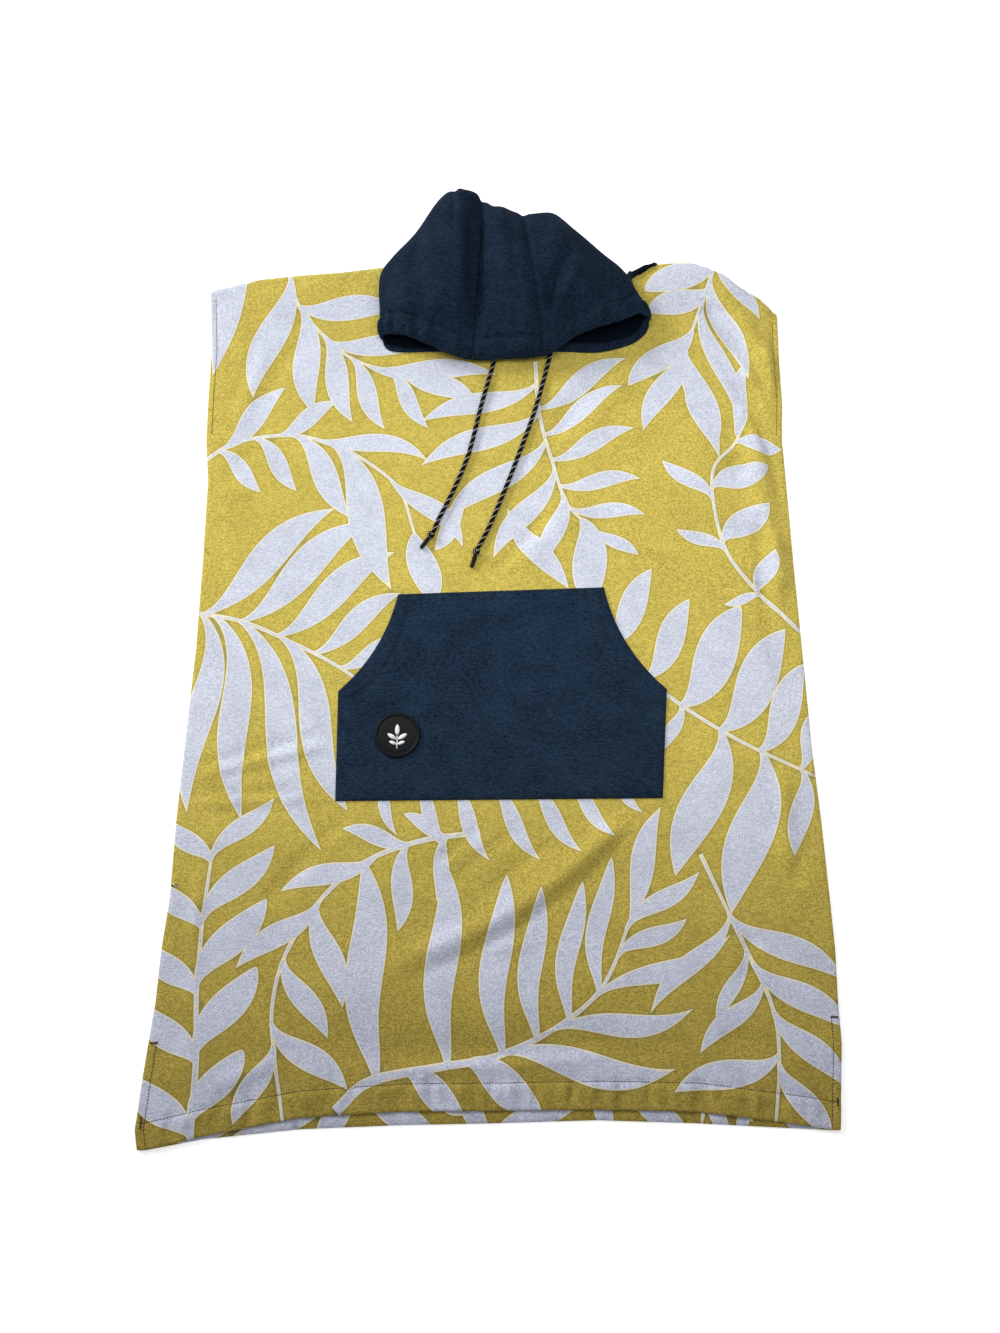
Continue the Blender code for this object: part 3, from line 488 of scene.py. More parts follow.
# Stems of the fronds, from root to tip: points across and up
STEMS = {
    "top_left_fall": ((-0.285, 0.525), (-0.265, 0.455), (-0.210, 0.390), (-0.170, 0.365), (-0.125, 0.355)),
    "mid_left_arch": (
        (-0.375, 0.225),
        (-0.335, 0.250),
        (-0.265, 0.260),
        (-0.205, 0.245),
        (-0.155, 0.215),
        (-0.120, 0.180),
        (-0.100, 0.120),
    ),
    "left_fan": ((-0.365, 0.015), (-0.315, 0.005), (-0.265, -0.015), (-0.180, -0.060), (-0.110, -0.120)),
    "centre_fall": ((0.055, 0.370), (0.060, 0.290), (0.075, 0.225), (0.095, 0.160), (0.130, 0.125)),
    "top_right_fall": ((0.305, 0.525), (0.290, 0.480), (0.270, 0.425), (0.255, 0.390)),
    "right_vine": (
        (0.380, -0.010),
        (0.350, 0.020),
        (0.315, 0.060),
        (0.290, 0.105),
        (0.280, 0.170),
        (0.285, 0.215),
        (0.315, 0.250),
        (0.333, 0.300),
    ),
    "broad_leaves": (
        (0.130, -0.020),
        (0.180, -0.065),
        (0.230, -0.105),
        (0.275, -0.135),
        (0.320, -0.160),
        (0.385, -0.190),
    ),
    "right_fan": ((0.268, -0.345), (0.290, -0.395), (0.310, -0.445), (0.315, -0.495), (0.305, -0.575)),
    "hem_arch": (
        (-0.170, -0.555),
        (-0.135, -0.525),
        (-0.060, -0.510),
        (0.000, -0.500),
        (0.060, -0.475),
        (0.110, -0.440),
        (0.135, -0.405),
        (0.155, -0.355),
    ),
    "left_sprig": (
        (-0.015, -0.255),
        (-0.085, -0.265),
        (-0.150, -0.290),
        (-0.200, -0.335),
        (-0.235, -0.395),
        (-0.245, -0.450),
        (-0.240, -0.495),
        (-0.225, -0.575),
    ),
    "left_stem": ((-0.325, -0.590), (-0.325, -0.500), (-0.330, -0.440), (-0.330, -0.360), (-0.325, -0.275)),
    "under_pocket": ((-0.168, -0.179), (-0.087, -0.189), (-0.004, -0.197), (0.079, -0.191), (0.141, -0.175)),
    "corner_leaf": ((-0.3491, 0.634), (-0.3500, 0.624)),
    "fan_spike": ((0.240, -0.280), (0.254, -0.313), (0.268, -0.345)),
    "vine_join_left": ((0.2942, 0.2180), (0.2922, 0.2255)),
    "under_cords": ((0.0125, 0.1640), (0.0170, 0.1575)),
    "between_cords": ((-0.0345, 0.1640), (-0.0375, 0.1590)),
    "vine_join_right": ((0.3150, 0.2500), (0.3165, 0.2580)),
}
SHORTEST_STEM = 0.015  # shorter ones only carry a leaf

# Rows of leaves: frond, side, how many, first and last place along the stem, lengths of the first, middle
# and last leaf, their leans from the stem, width over length of the first and last, turn towards the
# stem's tip, sway to and fro
LEAF_ROWS = (
    ("top_left_fall", "left", 3, 0.30, 0.83, (0.135, 0.145, 0.175), (58, 41, 16), (0.27, 0.18), 16, 0),
    ("top_left_fall", "right", 5, 0.10, 0.94, (0.194, 0.140, 0.104), (23, 24, 48), (0.22, 0.22), 20, 0),
    ("top_left_fall", "tip", 1, 1.00, 1.00, (0.112, 0.112, 0.112), (-12, -12, -12), (0.28, 0.28), 10, 0),
    ("mid_left_arch", "left", 2, 0.08, 0.30, (0.122, 0.100, 0.088), (15, 23, 31), (0.26, 0.29), 16, 0),
    ("mid_left_arch", "left", 2, 0.43, 0.77, (0.155, 0.145, 0.135), (3, 2, 1), (0.17, 0.20), 50, 0),
    ("mid_left_arch", "right", 4, 0.06, 0.49, (0.086, 0.118, 0.222), (80, 57, 46), (0.26, 0.21), 0, -10),
    ("mid_left_arch", "tip", 1, 1.00, 1.00, (0.100, 0.100, 0.100), (-2, -2, -2), (0.38, 0.38), 0, 0),
    ("left_fan", "left", 4, 0.02, 0.53, (0.217, 0.198, 0.135), (52, 61, 64), (0.20, 0.22), 28, 0),
    ("left_fan", "left", 1, 0.66, 0.66, (0.090, 0.090, 0.090), (60, 60, 60), (0.24, 0.24), 12, 0),
    ("left_fan", "right", 2, 0.01, 0.07, (0.257, 0.260, 0.262), (77, 73, 69), (0.15, 0.14), 0, -12),
    ("left_fan", "right", 2, 0.18, 0.37, (0.309, 0.270, 0.235), (52, 46, 41), (0.12, 0.16), 12, -12),
    ("centre_fall", "left", 5, 0.27, 0.84, (0.141, 0.118, 0.096), (118, 98, 51), (0.21, 0.22), 26, 0),
    ("centre_fall", "right", 4, 0.13, 0.61, (0.167, 0.178, 0.152), (71, 67, 47), (0.19, 0.20), 14, 0),
    ("centre_fall", "right", 1, 0.74, 0.74, (0.108, 0.108, 0.108), (33, 33, 33), (0.24, 0.24), 0, 0),
    ("centre_fall", "right", 1, 0.91, 0.91, (0.122, 0.122, 0.122), (44, 44, 44), (0.36, 0.36), 0, 0),
    ("centre_fall", "tip", 1, 1.00, 1.00, (0.066, 0.066, 0.066), (10, 10, 10), (0.28, 0.28), 0, 0),
    ("top_right_fall", "left", 3, 0.05, 0.46, (0.105, 0.160, 0.200), (50, 35, 31), (0.24, 0.14), 14, 0),
    ("top_right_fall", "right", 2, 0.06, 0.39, (0.110, 0.097, 0.084), (48, 50, 52), (0.36, 0.40), 10, 0),
    ("top_right_fall", "right", 2, 0.79, 0.98, (0.129, 0.137, 0.146), (24, 13, 2), (0.28, 0.23), 16, 0),
    ("top_right_fall", "tip", 1, 1.00, 1.00, (0.155, 0.155, 0.155), (37, 37, 37), (0.23, 0.23), 0, 0),
    ("right_vine", "left", 3, 0.19, 0.59, (0.050, 0.070, 0.084), (61, 42, 45), (0.26, 0.26), 8, 0),
    ("right_vine", "right", 4, 0.21, 0.85, (0.062, 0.087, 0.063), (65, 66, 66), (0.42, 0.41), 10, 0),
    ("broad_leaves", "left", 2, 0.04, 0.24, (0.122, 0.122, 0.122), (102, 101, 100), (0.28, 0.28), 0, 0),
    ("broad_leaves", "left", 4, 0.42, 0.93, (0.151, 0.148, 0.076), (93, 86, 96), (0.33, 0.26), 0, 0),
    ("broad_leaves", "right", 4, 0.42, 0.94, (0.070, 0.203, 0.105), (79, 78, 75), (0.26, 0.26), 2, 0),
    ("right_fan", "left", 4, 0.02, 0.72, (0.150, 0.122, 0.096), (37, 30, 37), (0.20, 0.28), 20, 0),
    ("right_fan", "right", 3, 0.02, 0.36, (0.147, 0.096, 0.108), (65, 47, 67), (0.16, 0.21), 16, 0),
    ("right_fan", "right", 1, 0.68, 0.68, (0.128, 0.128, 0.128), (69, 69, 69), (0.24, 0.24), 12, 0),
    ("hem_arch", "left", 2, 0.14, 0.33, (0.236, 0.228, 0.220), (77, 79, 82), (0.180, 0.165), 26, 15),
    ("hem_arch", "left", 4, 0.48, 0.79, (0.198, 0.158, 0.151), (69, 55, 34), (0.170, 0.155), 42, 13),
    ("hem_arch", "right", 2, 0.22, 0.39, (0.075, 0.085, 0.095), (44, 42, 40), (0.40, 0.40), 10, 0),
    ("hem_arch", "right", 3, 0.48, 0.77, (0.192, 0.162, 0.178), (23, 21, 20), (0.18, 0.13), 34, 0),
    ("hem_arch", "right", 2, 0.90, 0.98, (0.093, 0.100, 0.109), (40, 35, 32), (0.23, 0.20), 14, 0),
    ("hem_arch", "tip", 1, 1.00, 1.00, (0.141, 0.141, 0.141), (3, 3, 3), (0.20, 0.20), 10, 0),
    ("left_sprig", "left", 2, 0.09, 0.19, (0.075, 0.090, 0.102), (74, 71, 68), (0.25, 0.25), 12, 0),
    ("left_sprig", "left", 3, 0.46, 0.76, (0.122, 0.100, 0.111), (55, 53, 48), (0.25, 0.25), 10, 0),
    ("left_sprig", "right", 3, 0.09, 0.27, (0.058, 0.083, 0.119), (34, 28, 5), (0.28, 0.21), 16, 0),
    ("left_sprig", "right", 1, 0.45, 0.45, (0.121, 0.121, 0.121), (11, 11, 11), (0.23, 0.23), 16, 0),
    ("left_sprig", "right", 1, 0.81, 0.81, (0.090, 0.090, 0.090), (36, 36, 36), (0.28, 0.28), 12, 0),
    ("left_stem", "left", 5, 0.04, 0.96, (0.095, 0.085, 0.074), (50, 46, 52), (0.36, 0.32), 28, 0),
    ("left_stem", "right", 5, 0.09, 0.97, (0.088, 0.118, 0.102), (35, 38, 40), (0.38, 0.24), 8, 0),
    ("under_pocket", "right", 7, 0.09, 0.97, (0.085, 0.110, 0.070), (60, 56, 66), (0.17, 0.20), 26, 0),
    ("vine_join_left", "tip", 1, 1.00, 1.00, (0.130, 0.130, 0.130), (0, 0, 0), (0.20, 0.20), 8, 0),
    ("under_cords", "tip", 1, 1.00, 1.00, (0.138, 0.138, 0.138), (0, 0, 0), (0.22, 0.22), -14, 0),
    ("between_cords", "tip", 1, 1.00, 1.00, (0.070, 0.070, 0.070), (0, 0, 0), (0.32, 0.32), 0, 0),
    ("vine_join_right", "tip", 1, 1.00, 1.00, (0.108, 0.108, 0.108), (2, 2, 2), (0.20, 0.20), 0, 0),
    ("corner_leaf", "tip", 1, 1.00, 1.00, (0.280, 0.280, 0.280), (0, 0, 0), (0.18, 0.18), 0, -2),
)
BACK_LEAVES_ABOVE_HEM = 0.008
# Leaves that cross the back panel's hem: middle, heading, length, width
BACK_HEM_LEAVES = (
    (-0.315, 12, 0.090, 0.022),
    (-0.232, 14, 0.100, 0.024),
    (-0.172, 62, 0.110, 0.028),
    (-0.098, 148, 0.120, 0.030),
    (-0.020, 118, 0.090, 0.022),
    (0.050, 22, 0.130, 0.030),
    (0.120, 105, 0.080, 0.020),
    (0.181, 140, 0.110, 0.028),
    (0.244, 112, 0.090, 0.017),
    (0.272, 75, 0.080, 0.014),
    (0.330, 128, 0.090, 0.024),
)
LEAF_POINTS = 21
LEAF_WIDEST = 1.06  # over 1, a leaf is widest a little past its middle
LEAF_POINTED = 1.42  # over 1, its two ends are drawn out
LEAF_FULL = 1.70  # and this much less so for each unit of width over length
# Under 1, the leaves of a row are fuller towards their ends, and over 1 more pointed
LEAF_TAPERS = {
    ("hem_arch", "left"): 0.70,
    ("left_fan", "right"): 0.80,
    ("right_vine", "right"): 1.60,
    ("vine_join_right", "tip"): 0.50,
}
LEAF_UNLIKE = 0.02  # how much neighbouring leaves differ in length and lean
LEAF_SWAY = -9  # of leaves in rows that state none
ROOT_CLOSER = 1.2  # over 1, a midline's points are closer together at its root
ROOT_HALF_WIDTH = 0.0027
ROOT_REACH = 0.09
HOOK = 34  # a leaf leaves its stem this much nearer to the stem's own direction
HOOK_REACH = 0.13
STEEPEST = 0.95  # of a leaf's edge, for each metre along it
STEM_HALF_WIDTH = 0.0028
STEM_TAPER = 0.35
STEM_FLARE = 1.5  # over 1, the wider root of a stem narrows sooner
STEM_PLACES = 120  # along a stem, where its leaves may start
WIDER_STEMS = {"hem_arch": 2.2, "left_stem": 1.5, "left_sprig": 1.2}
STEM_SPACING = 0.012
FAR_OUTSIDE = -0.05

FRONT_SEED, BACK_SEED = 4, 9

# How finely the cloth is divided
CLOTH_SPACING = 0.0062
HEM_SPACING = 0.0030
HEM_BAND = 0.075  # above the hem's lowest point, which holds all of the finer grid
BESIDE_STITCH = 0.0027
CLEAR_OF_STITCH = 0.0026
SLOPE_STEP = 0.0015
BACK_SPACING = 0.0140
OUTLINE_SPACING = 0.0050
EDGE_CLEAR = 0.0016  # grid points keep this far from a printed edge
EDGE_STEP = 0.0003  # the print depth jumps this much to each side of an edge
EDGE_ROLL = 0.0014  # the panels' edges are rounded over this width
EDGE_DROP = 0.0009


# ---------------------------------------------------------------- curves and sections


def column(table, index):
    return [row[index] for row in table]


def read(table, index, at):
    """The table's column at a place along its first column."""
    return np.interp(at, column(table, 0), column(table, index))


def spline_weights(stops, places, closed):
    """Catmull-Rom weights of each stop at each place, a row for each place."""
    weights = np.zeros((len(places), stops))
    for row, place in zip(weights, places):
        first = int(place) if closed else min(int(place), stops - 2)
        t = place - first
        near = (-t + 2 * t**2 - t**3, 2 - 5 * t**2 + 3 * t**3, t + 4 * t**2 - 3 * t**3, t**3 - t**2)
        for stop, weight in zip(range(first - 1, first + 3), near):
            if closed:
                row[stop % stops] += weight / 2
            elif stop < 0:
                row[:2] += weight * np.array((1.0, -0.5))
            elif stop >= stops:
                row[-2:] += weight * np.array((-0.5, 1.0))
            else:
                row[stop] += weight / 2
    return weights


def bend(start, pull, end, share):
    """A point of the quadratic curve from start to end."""
    start, pull, end = (np.asarray(p, float) for p in (start, pull, end))
    return (1 - share) ** 2 * start + 2 * share * (1 - share) * pull + share**2 * end


def ease(share):
    """0 to 1, level at both ends."""
    share = np.clip(share, 0.0, 1.0)
    return share * share * (3 - 2 * share)


def bell(distance, reach):
    """1 at no distance, falling away smoothly over the reach."""
    return np.exp(-((distance / reach) ** 2))


def spline(stops, count):
    """Evenly spaced points along the curve through the stops."""
    stops = np.array(stops, float)
    dense = spline_weights(len(stops), np.linspace(0, len(stops) - 1, CORD_SAMPLES), False) @ stops
    return resample(dense, count)


def distances(points):
    """How far along its line each point lies."""
    return np.concatenate(([0], np.cumsum(np.linalg.norm(np.diff(points, axis=0), axis=1))))


def resample(points, count):
    run = distances(points)
    places = np.linspace(0, run[-1], count)
    return np.stack([np.interp(places, run, axis) for axis in points.T], axis=-1)


def length_of(points):
    return float(np.linalg.norm(np.diff(points, axis=0), axis=1).sum())


# ---------------------------------------------------------------- form of the front panel


def shoulder_end(x):
    return read(SHOULDERS, RIDGE, x) + ROLL_OF_HEIGHT * read(SHOULDERS, RISE, x) + ROLL_LEAST


def neck_edge(x, panel):
    inside = (x > NECK[0][0]) & (x < NECK[-1][0])
    return np.where(inside, read(NECK, panel, x), shoulder_end(x))


def pocket_calm(x, y):
    """0 over the pocket, 1 well outside it."""
    out_x = np.maximum(POCKET_SIDE_LEFT[0] - x, x - POCKET_SIDE_RIGHT[0])
    out_y = np.maximum(POCKET_BOTTOM_LEFT[1] - y, y - POCKET_TOP_RIGHT[1])
    return ease(np.maximum(out_x, out_y) / CALM_MARGIN)


def fold_height(x, y, fold):
    x0, y0, x1, y1, x2, y2, half_width, height, fade = fold
    pull = (2 * x1 - (x0 + x2) / 2, 2 * y1 - (y0 + y2) / 2)
    nearest = np.full(np.shape(x), np.inf)
    share_there = np.zeros(np.shape(x))
    for share in np.linspace(0, 1, 25):
        px, py = bend((x0, y0), pull, (x2, y2), share)
        distance = np.hypot(x - px, y - py)
        closer = distance < nearest
        nearest = np.where(closer, distance, nearest)
        share_there = np.where(closer, share, share_there)
    ends = ease(np.minimum(share_there, 1 - share_there) / fade)
    return height * ends * bell(nearest, half_width)


def shoulder_rise(x, y):
    ridge = read(SHOULDERS, RIDGE, x)
    height = read(SHOULDERS, RISE, x)
    roll = shoulder_end(x) - ridge
    before = ease(1 - (ridge - y) / SHOULDER_REACH)
    behind = np.sqrt(np.clip(1 - ((y - ridge) / roll) ** 2, 0, 1))
    return height * np.where(y > ridge, behind, before)


def front_lift(x, y):
    """How far the front panel's underside stands off the back panel."""
    sides = np.minimum(x - read(SIDES, LEFT, y), read(SIDES, RIGHT, y) - x)
    above_hem = y - read(HEMS, FRONT, x)
    below_shoulder = shoulder_end(x) - y
    inside = ease(sides / AIR_EDGE) * ease(above_hem / HEM_DEPTH) * ease(below_shoulder / AIR_EDGE)
    folds = sum(fold_height(x, y, fold) for fold in FOLDS.values()) * pocket_calm(x, y)
    hem = HEM_RISE * ease((HEM_DEPTH - above_hem) / HEM_STEP)
    return np.maximum(inside * (AIR + folds) + hem + shoulder_rise(x, y), 0)


def pulls(place, waves):
    """Small uneven waves along a seam: from one to the next, start, height."""
    return sum(height * np.sin(2 * math.pi * (place / pitch + start)) for pitch, start, height in waves)


def groove(distance):
    """The dent that a row of stitches pulls into the cloth."""
    return -STITCH_GROOVE * bell(distance, GROOVE_WIDTH)


def fine_relief(x, y):
    """Creases, pulls and stitch grooves on top of the front panel's main form."""
    left, right = x - read(SIDES, LEFT, y), read(SIDES, RIGHT, y) - x
    sides = np.minimum(left, right)
    above_hem = y - read(HEMS, FRONT, x)
    from_middle = np.abs(x - HOOD_MIDDLE[0])
    under_hood = ease((y - UNDER_HOOD_FROM) / RELIEF_FADE)
    under_hood *= ease((UNDER_HOOD_HALF_WIDTH - from_middle) / RELIEF_FADE)
    height = np.zeros(np.shape(x))
    for fold in FINE_CREASES.values():
        reach = CREASE_REACH * fold[6]
        near = (x > min(fold[0:6:2]) - reach) & (x < max(fold[0:6:2]) + reach)
        near &= (y > min(fold[1:6:2]) - reach) & (y < max(fold[1:6:2]) + reach)
        if np.any(near):
            height[near] += CREASE_STRENGTH * fold_height(x[near], y[near], fold)
    calm = ease(sides / CREASES_FROM_SIDE) * ease(above_hem / CREASES_FROM_HEM) * pocket_calm(x, y)
    height *= calm * (1 - under_hood)
    over_hem = bell(above_hem - PULLS_ABOVE_HEM, PULLS_REACH) * ease(sides / CREASES_FROM_HEM)
    height += pulls(x, HEM_PULLS) * over_hem
    for place, lean, depth, reach in HEM_TUCKS:
        tuck = TUCK_STRENGTH * depth * bell(x - place - lean * above_hem, TUCK_WIDTH)
        height += tuck * bell(above_hem - TUCKS_ABOVE_HEM, TUCKS_REACH * reach)
    height += groove(y - hem_stitch(x))
    slit = ease((SLIT_TOPS[1] + RELIEF_FADE - y) / RELIEF_FADE)
    height += (groove(left - SLIT_STITCH) + groove(right - SLIT_STITCH)) * slit
    arm = ease((y - ARMHOLE_FOOT + ARM_FADE) / ARM_FADE)
    height += (groove(left - ARM_STITCH) + groove(right - ARM_STITCH)) * arm
    return height


def front_top(x, y):
    """The front panel's outer face."""
    x, y = np.asarray(x, float), np.asarray(y, float)
    lift = front_lift(x, y) + fine_relief(np.atleast_1d(x), np.atleast_1d(y)).reshape(x.shape)
    return TOWELLING + SEAM_GAP + np.maximum(lift, 0) + TOWELLING


def hem_stitch(x):
    return np.interp(x, column(HEM_STITCH, 0), column(HEM_STITCH, 1))


def side_line(side, inset, top, foot):
    """Points down a side of the front panel, so far in from its edge."""
    y = np.arange(top, foot, -LINE_STEP)
    edge = read(SIDES, side, y)
    return np.column_stack((edge + inset if side == LEFT else edge - inset, y))


def front_stitch_lines():
    """The hem, the two slits and the two armholes."""
    across = np.arange(HEM_STITCH[0][0], HEM_STITCH[-1][0], LINE_STEP)
    lines = [np.column_stack((across, hem_stitch(across)))]
    for side, slit, shoulder, corner in zip((LEFT, RIGHT), SLIT_TOPS, SHOULDER_STITCHES, HEM_CORNERS):
        foot = float(read(HEMS, FRONT, corner)) + CORNER_CLEAR
        lines.append(side_line(side, SLIT_STITCH, slit, foot))
        lines.append(side_line(side, ARM_STITCH, shoulder, ARMHOLE_FOOT))
    return lines


def on_front(points, above=0.0):
    """Points across and up, set on the front panel's outer face."""
    points = np.asarray(points, float)
    return np.column_stack((points[:, 0], points[:, 1], front_top(points[:, 0], points[:, 1]) + above))


def panel_outline(panel):
    """The outline of the front or the back panel, anticlockwise from the hem's left end."""
    left, right = SIDES[-1][1:]
    across = np.linspace(left, right, round((right - left) / OUTLINE_SPACING) + 1)
    hem_y, top_y = read(HEMS, panel, across), neck_edge(across, panel)
    share = (across - left) / (right - left)
    up = np.linspace(0, 1, 220)[1:-1]
    right_y = hem_y[-1] + (top_y[-1] - hem_y[-1]) * up
    left_y = hem_y[0] + (top_y[0] - hem_y[0]) * up[::-1]

    def lean(y, s):
        return read(SIDES, LEFT, y) * (1 - s) + read(SIDES, RIGHT, y) * s

    hem = np.column_stack((lean(hem_y, share), hem_y))
    right_side = np.column_stack((read(SIDES, RIGHT, right_y), right_y))
    top = np.column_stack((lean(top_y, share), top_y))[::-1]
    left_side = np.column_stack((read(SIDES, LEFT, left_y), left_y))
    return np.concatenate((hem, right_side, top, left_side))


# ---------------------------------------------------------------- print


def turned(direction, degrees):
    a = math.radians(degrees)
    return np.array((
        direction[0] * math.cos(a) - direction[1] * math.sin(a),
        direction[0] * math.sin(a) + direction[1] * math.cos(a),
    ))


def towards(degrees):
    """The direction so many degrees anticlockwise from +X."""
    return turned((1.0, 0.0), degrees)


def leaf(root, direction, length, width, turn=0, sway=0, hook=0, taper=1.0):
    """A leaf's midline and its half width at each point of it."""
    shares = np.linspace(0, 1, LEAF_POINTS) ** ROOT_CLOSER
    middles = (shares[1:] + shares[:-1]) / 2
    headings = turn * (0.5 - middles) + sway * np.cos(2 * math.pi * middles)
    headings -= hook * np.exp(-middles / HOOK_REACH)
    headings += hook * HOOK_REACH * (1 - math.exp(-1 / HOOK_REACH))
    steps = [turned(direction, heading) * length * step for heading, step in zip(headings, np.diff(shares))]
    midline = np.vstack((root, root + np.cumsum(steps, axis=0)))
    pointed = taper * (LEAF_POINTED - LEAF_FULL * width / length)
    half = np.sin(math.pi * shares**LEAF_WIDEST).clip(0, 1) ** pointed * width / 2
    if hook:
        half += ROOT_HALF_WIDTH * (np.exp(-shares / ROOT_REACH) - math.exp(-1 / ROOT_REACH))
    return midline, half


def stem(points, wider):
    """A stem's midline and half width, which may start wider at its root."""
    midline = spline(points, max(3, round(length_of(np.array(points)) / STEM_SPACING)))
    share = np.linspace(0, 1, len(midline))
    half = STEM_HALF_WIDTH * (1 + (wider - 1) * (1 - share) ** STEM_FLARE - STEM_TAPER * share)
    return midline, half


def fronds(flip, seed):
    """The midlines and half widths of every stem and leaf. A flip of -1 mirrors the layout."""
    chance = np.random.default_rng(seed)
    shapes = [
        stem(points, WIDER_STEMS.get(name, 1.0))
        for name, points in STEMS.items()
        if length_of(np.array(points)) > SHORTEST_STEM
    ]
    for name, side, count, first, last, lengths, leans, ratios, turn, sway in LEAF_ROWS:
        line = spline(STEMS[name], STEM_PLACES)
        end = STEM_PLACES - 1
        sign = -1 if side == "right" else 1
        for share in np.linspace(0, 1, count):
            unlike = 1 + LEAF_UNLIKE * chance.uniform(-1, 1, 2)
            at = min(int((first + (last - first) * share) * end), end - 1)
            tangent = line[min(at + 2, end)] - line[max(at - 2, 0)]
            tangent /= np.linalg.norm(tangent)
            length = bend_value(*lengths, share) * unlike[0]
            width = length * (ratios[0] + (ratios[1] - ratios[0]) * share)
            lean = bend_value(*leans, share) * unlike[1]
            hook = 0 if side == "tip" else sign * HOOK
            bends = (sign * turn, sign * (sway or LEAF_SWAY), hook, LEAF_TAPERS.get((name, side), 1.0))
            shapes.append(leaf(line[at], turned(tangent, sign * lean), length, width, *bends))
    return [(midline * (flip, 1), half) for midline, half in shapes]


def bend_value(first, middle, last, share):
    """The parabola through three values at shares 0, 0.5 and 1."""
    return first + share * (4 * middle - 3 * first - last) + share**2 * (2 * first + 2 * last - 4 * middle)


def print_depth(points, shapes):
    """How deep each point lies inside the print's leaves, or, below 0, how far outside."""
    depth = np.full(len(points), FAR_OUTSIDE)
    for midline, half in shapes:
        reach = half.max() - FAR_OUTSIDE / 3
        low, high = midline.min(axis=0) - reach, midline.max(axis=0) + reach
        near = np.flatnonzero(((points > low) & (points < high)).all(axis=1))
        if not len(near):
            continue
        here = points[near]
        best = np.full(len(near), FAR_OUTSIDE)
        for a, b, ha, hb in zip(midline, midline[1:], half, half[1:]):
            run = b - a
            length = np.linalg.norm(run)
            slope = np.clip((hb - ha) / length, -STEEPEST, STEEPEST)
            along = (here - a) @ run / length
            off = np.abs((here - a) @ np.array((-run[1], run[0]))) / length
            share = np.clip((along + slope * off / math.sqrt(1 - slope**2)) / length, 0, 1)
            away = np.hypot(along - share * length, off)
            best = np.maximum(best, ha + (hb - ha) * share - away)
        depth[near] = np.maximum(depth[near], best)
    return depth


def ring_of(midline, half):
    """The outline round a midline, anticlockwise: the edge of all discs that have their middles on it."""
    run = np.gradient(midline, axis=0)
    step = np.linalg.norm(run, axis=1, keepdims=True)
    run /= step
    slope = np.clip(np.gradient(half)[:, None] / step, -STEEPEST, STEEPEST)
    back = -slope * run * half[:, None]
    across = np.sqrt(1 - slope**2) * np.column_stack((run[:, 1], -run[:, 0])) * half[:, None]
    right, left = midline + back + across, (midline + back - across)[::-1]
    if half[0] < 1e-6:
        left = left[:-1]
    if half[-1] < 1e-6:
        left = left[1:]
    return np.concatenate((right, left))


def inked(points, shapes):
    """Whether each point lies within any leaf or stem."""
    found = np.zeros(len(points), bool)
    for midline, half in shapes:
        ring = ring_of(midline, half)
        near = np.flatnonzero(((points > ring.min(axis=0)) & (points < ring.max(axis=0))).all(axis=1))
        found[near] |= inside_outline(points[near], ring)
    return found


def moved_in(outline, distance):
    """The closed outline, moved inwards."""
    run = np.roll(outline, -1, axis=0) - np.roll(outline, 1, axis=0)
    run /= np.linalg.norm(run, axis=1, keepdims=True)
    return outline + distance * np.column_stack((-run[:, 1], run[:, 0]))


def inside_outline(points, outline):
    """Whether each point lies within a closed outline."""
    inside = np.zeros(len(points), bool)
    for (x0, y0), (x1, y1) in zip(outline, np.roll(outline, -1, axis=0)):
        crosses = (points[:, 1] < y0) != (points[:, 1] < y1)
        if y0 != y1:
            at = x0 + (points[:, 1] - y0) * (x1 - x0) / (y1 - y0)
            inside ^= crosses & (points[:, 0] < at)
    return inside


def staggered_grid(low, high, spacing):
    """Points in staggered rows over a box."""
    rows = np.arange(low[1], high[1], spacing * math.sqrt(3) / 2)
    points = []
    for index, y in enumerate(rows):
        x = np.arange(low[0] + (index % 2) * spacing / 2, high[0], spacing)
        points.append(np.column_stack((x, np.full(len(x), y))))
    return np.concatenate(points)


def cut_cloth(outline, grid, shapes):
    """Points and triangles of a panel, cut along its outline and its print's edges, with the points' print
    depths and which triangles are inked."""
    grid = grid[inside_outline(grid, moved_in(outline, 2 * EDGE_ROLL))]
    grid = np.concatenate((grid, moved_in(outline, EDGE_ROLL)))
    grid = grid[np.abs(print_depth(grid, shapes)) > EDGE_CLEAR]
    points, edges = [outline, grid], []
    edges += [(i, (i + 1) % len(outline)) for i in range(len(outline))]
    count = len(outline) + len(grid)
    for midline, half in shapes:
        ring = ring_of(midline, half)
        points += [ring, midline[1:-1]]
        edges += [(count + i, count + (i + 1) % len(ring)) for i in range(len(ring))]
        count += len(ring) + len(midline) - 2
    cut = delaunay_2d_cdt([Vector(p) for p in np.concatenate(points)], edges, [], 0, 1e-5)
    flat = np.array([tuple(p) for p in cut[0]])
    faces = np.array([tuple(f) for f in cut[2]])
    faces = faces[inside_outline(flat[faces].mean(axis=1), outline)]
    used, faces = np.unique(faces, return_inverse=True)
    flat, faces = flat[used], faces.reshape(-1, 3)
    return flat, faces, print_depth(flat, shapes), inked(flat[faces].mean(axis=1), shapes)


# ---------------------------------------------------------------- meshes


def add_piece(name, mesh, material, body="root", replaced=()):
    """A mesh object of the garment that rides on a body and stands for CAD nodes."""
    piece = bpy.data.objects.new(name, mesh)
    bpy.context.scene.collection.objects.link(piece)
    if material.name not in mesh.materials:
        mesh.materials.append(material)
    mesh.shade_smooth()
    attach(piece, body)
    if replaced:
        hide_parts(*replaced)
    return piece


def mesh_of(work, name):
    """What was worked on, as a mesh of its own."""
    mesh = bpy.data.meshes.new(name)
    work.to_mesh(mesh)
    work.free()
    return mesh


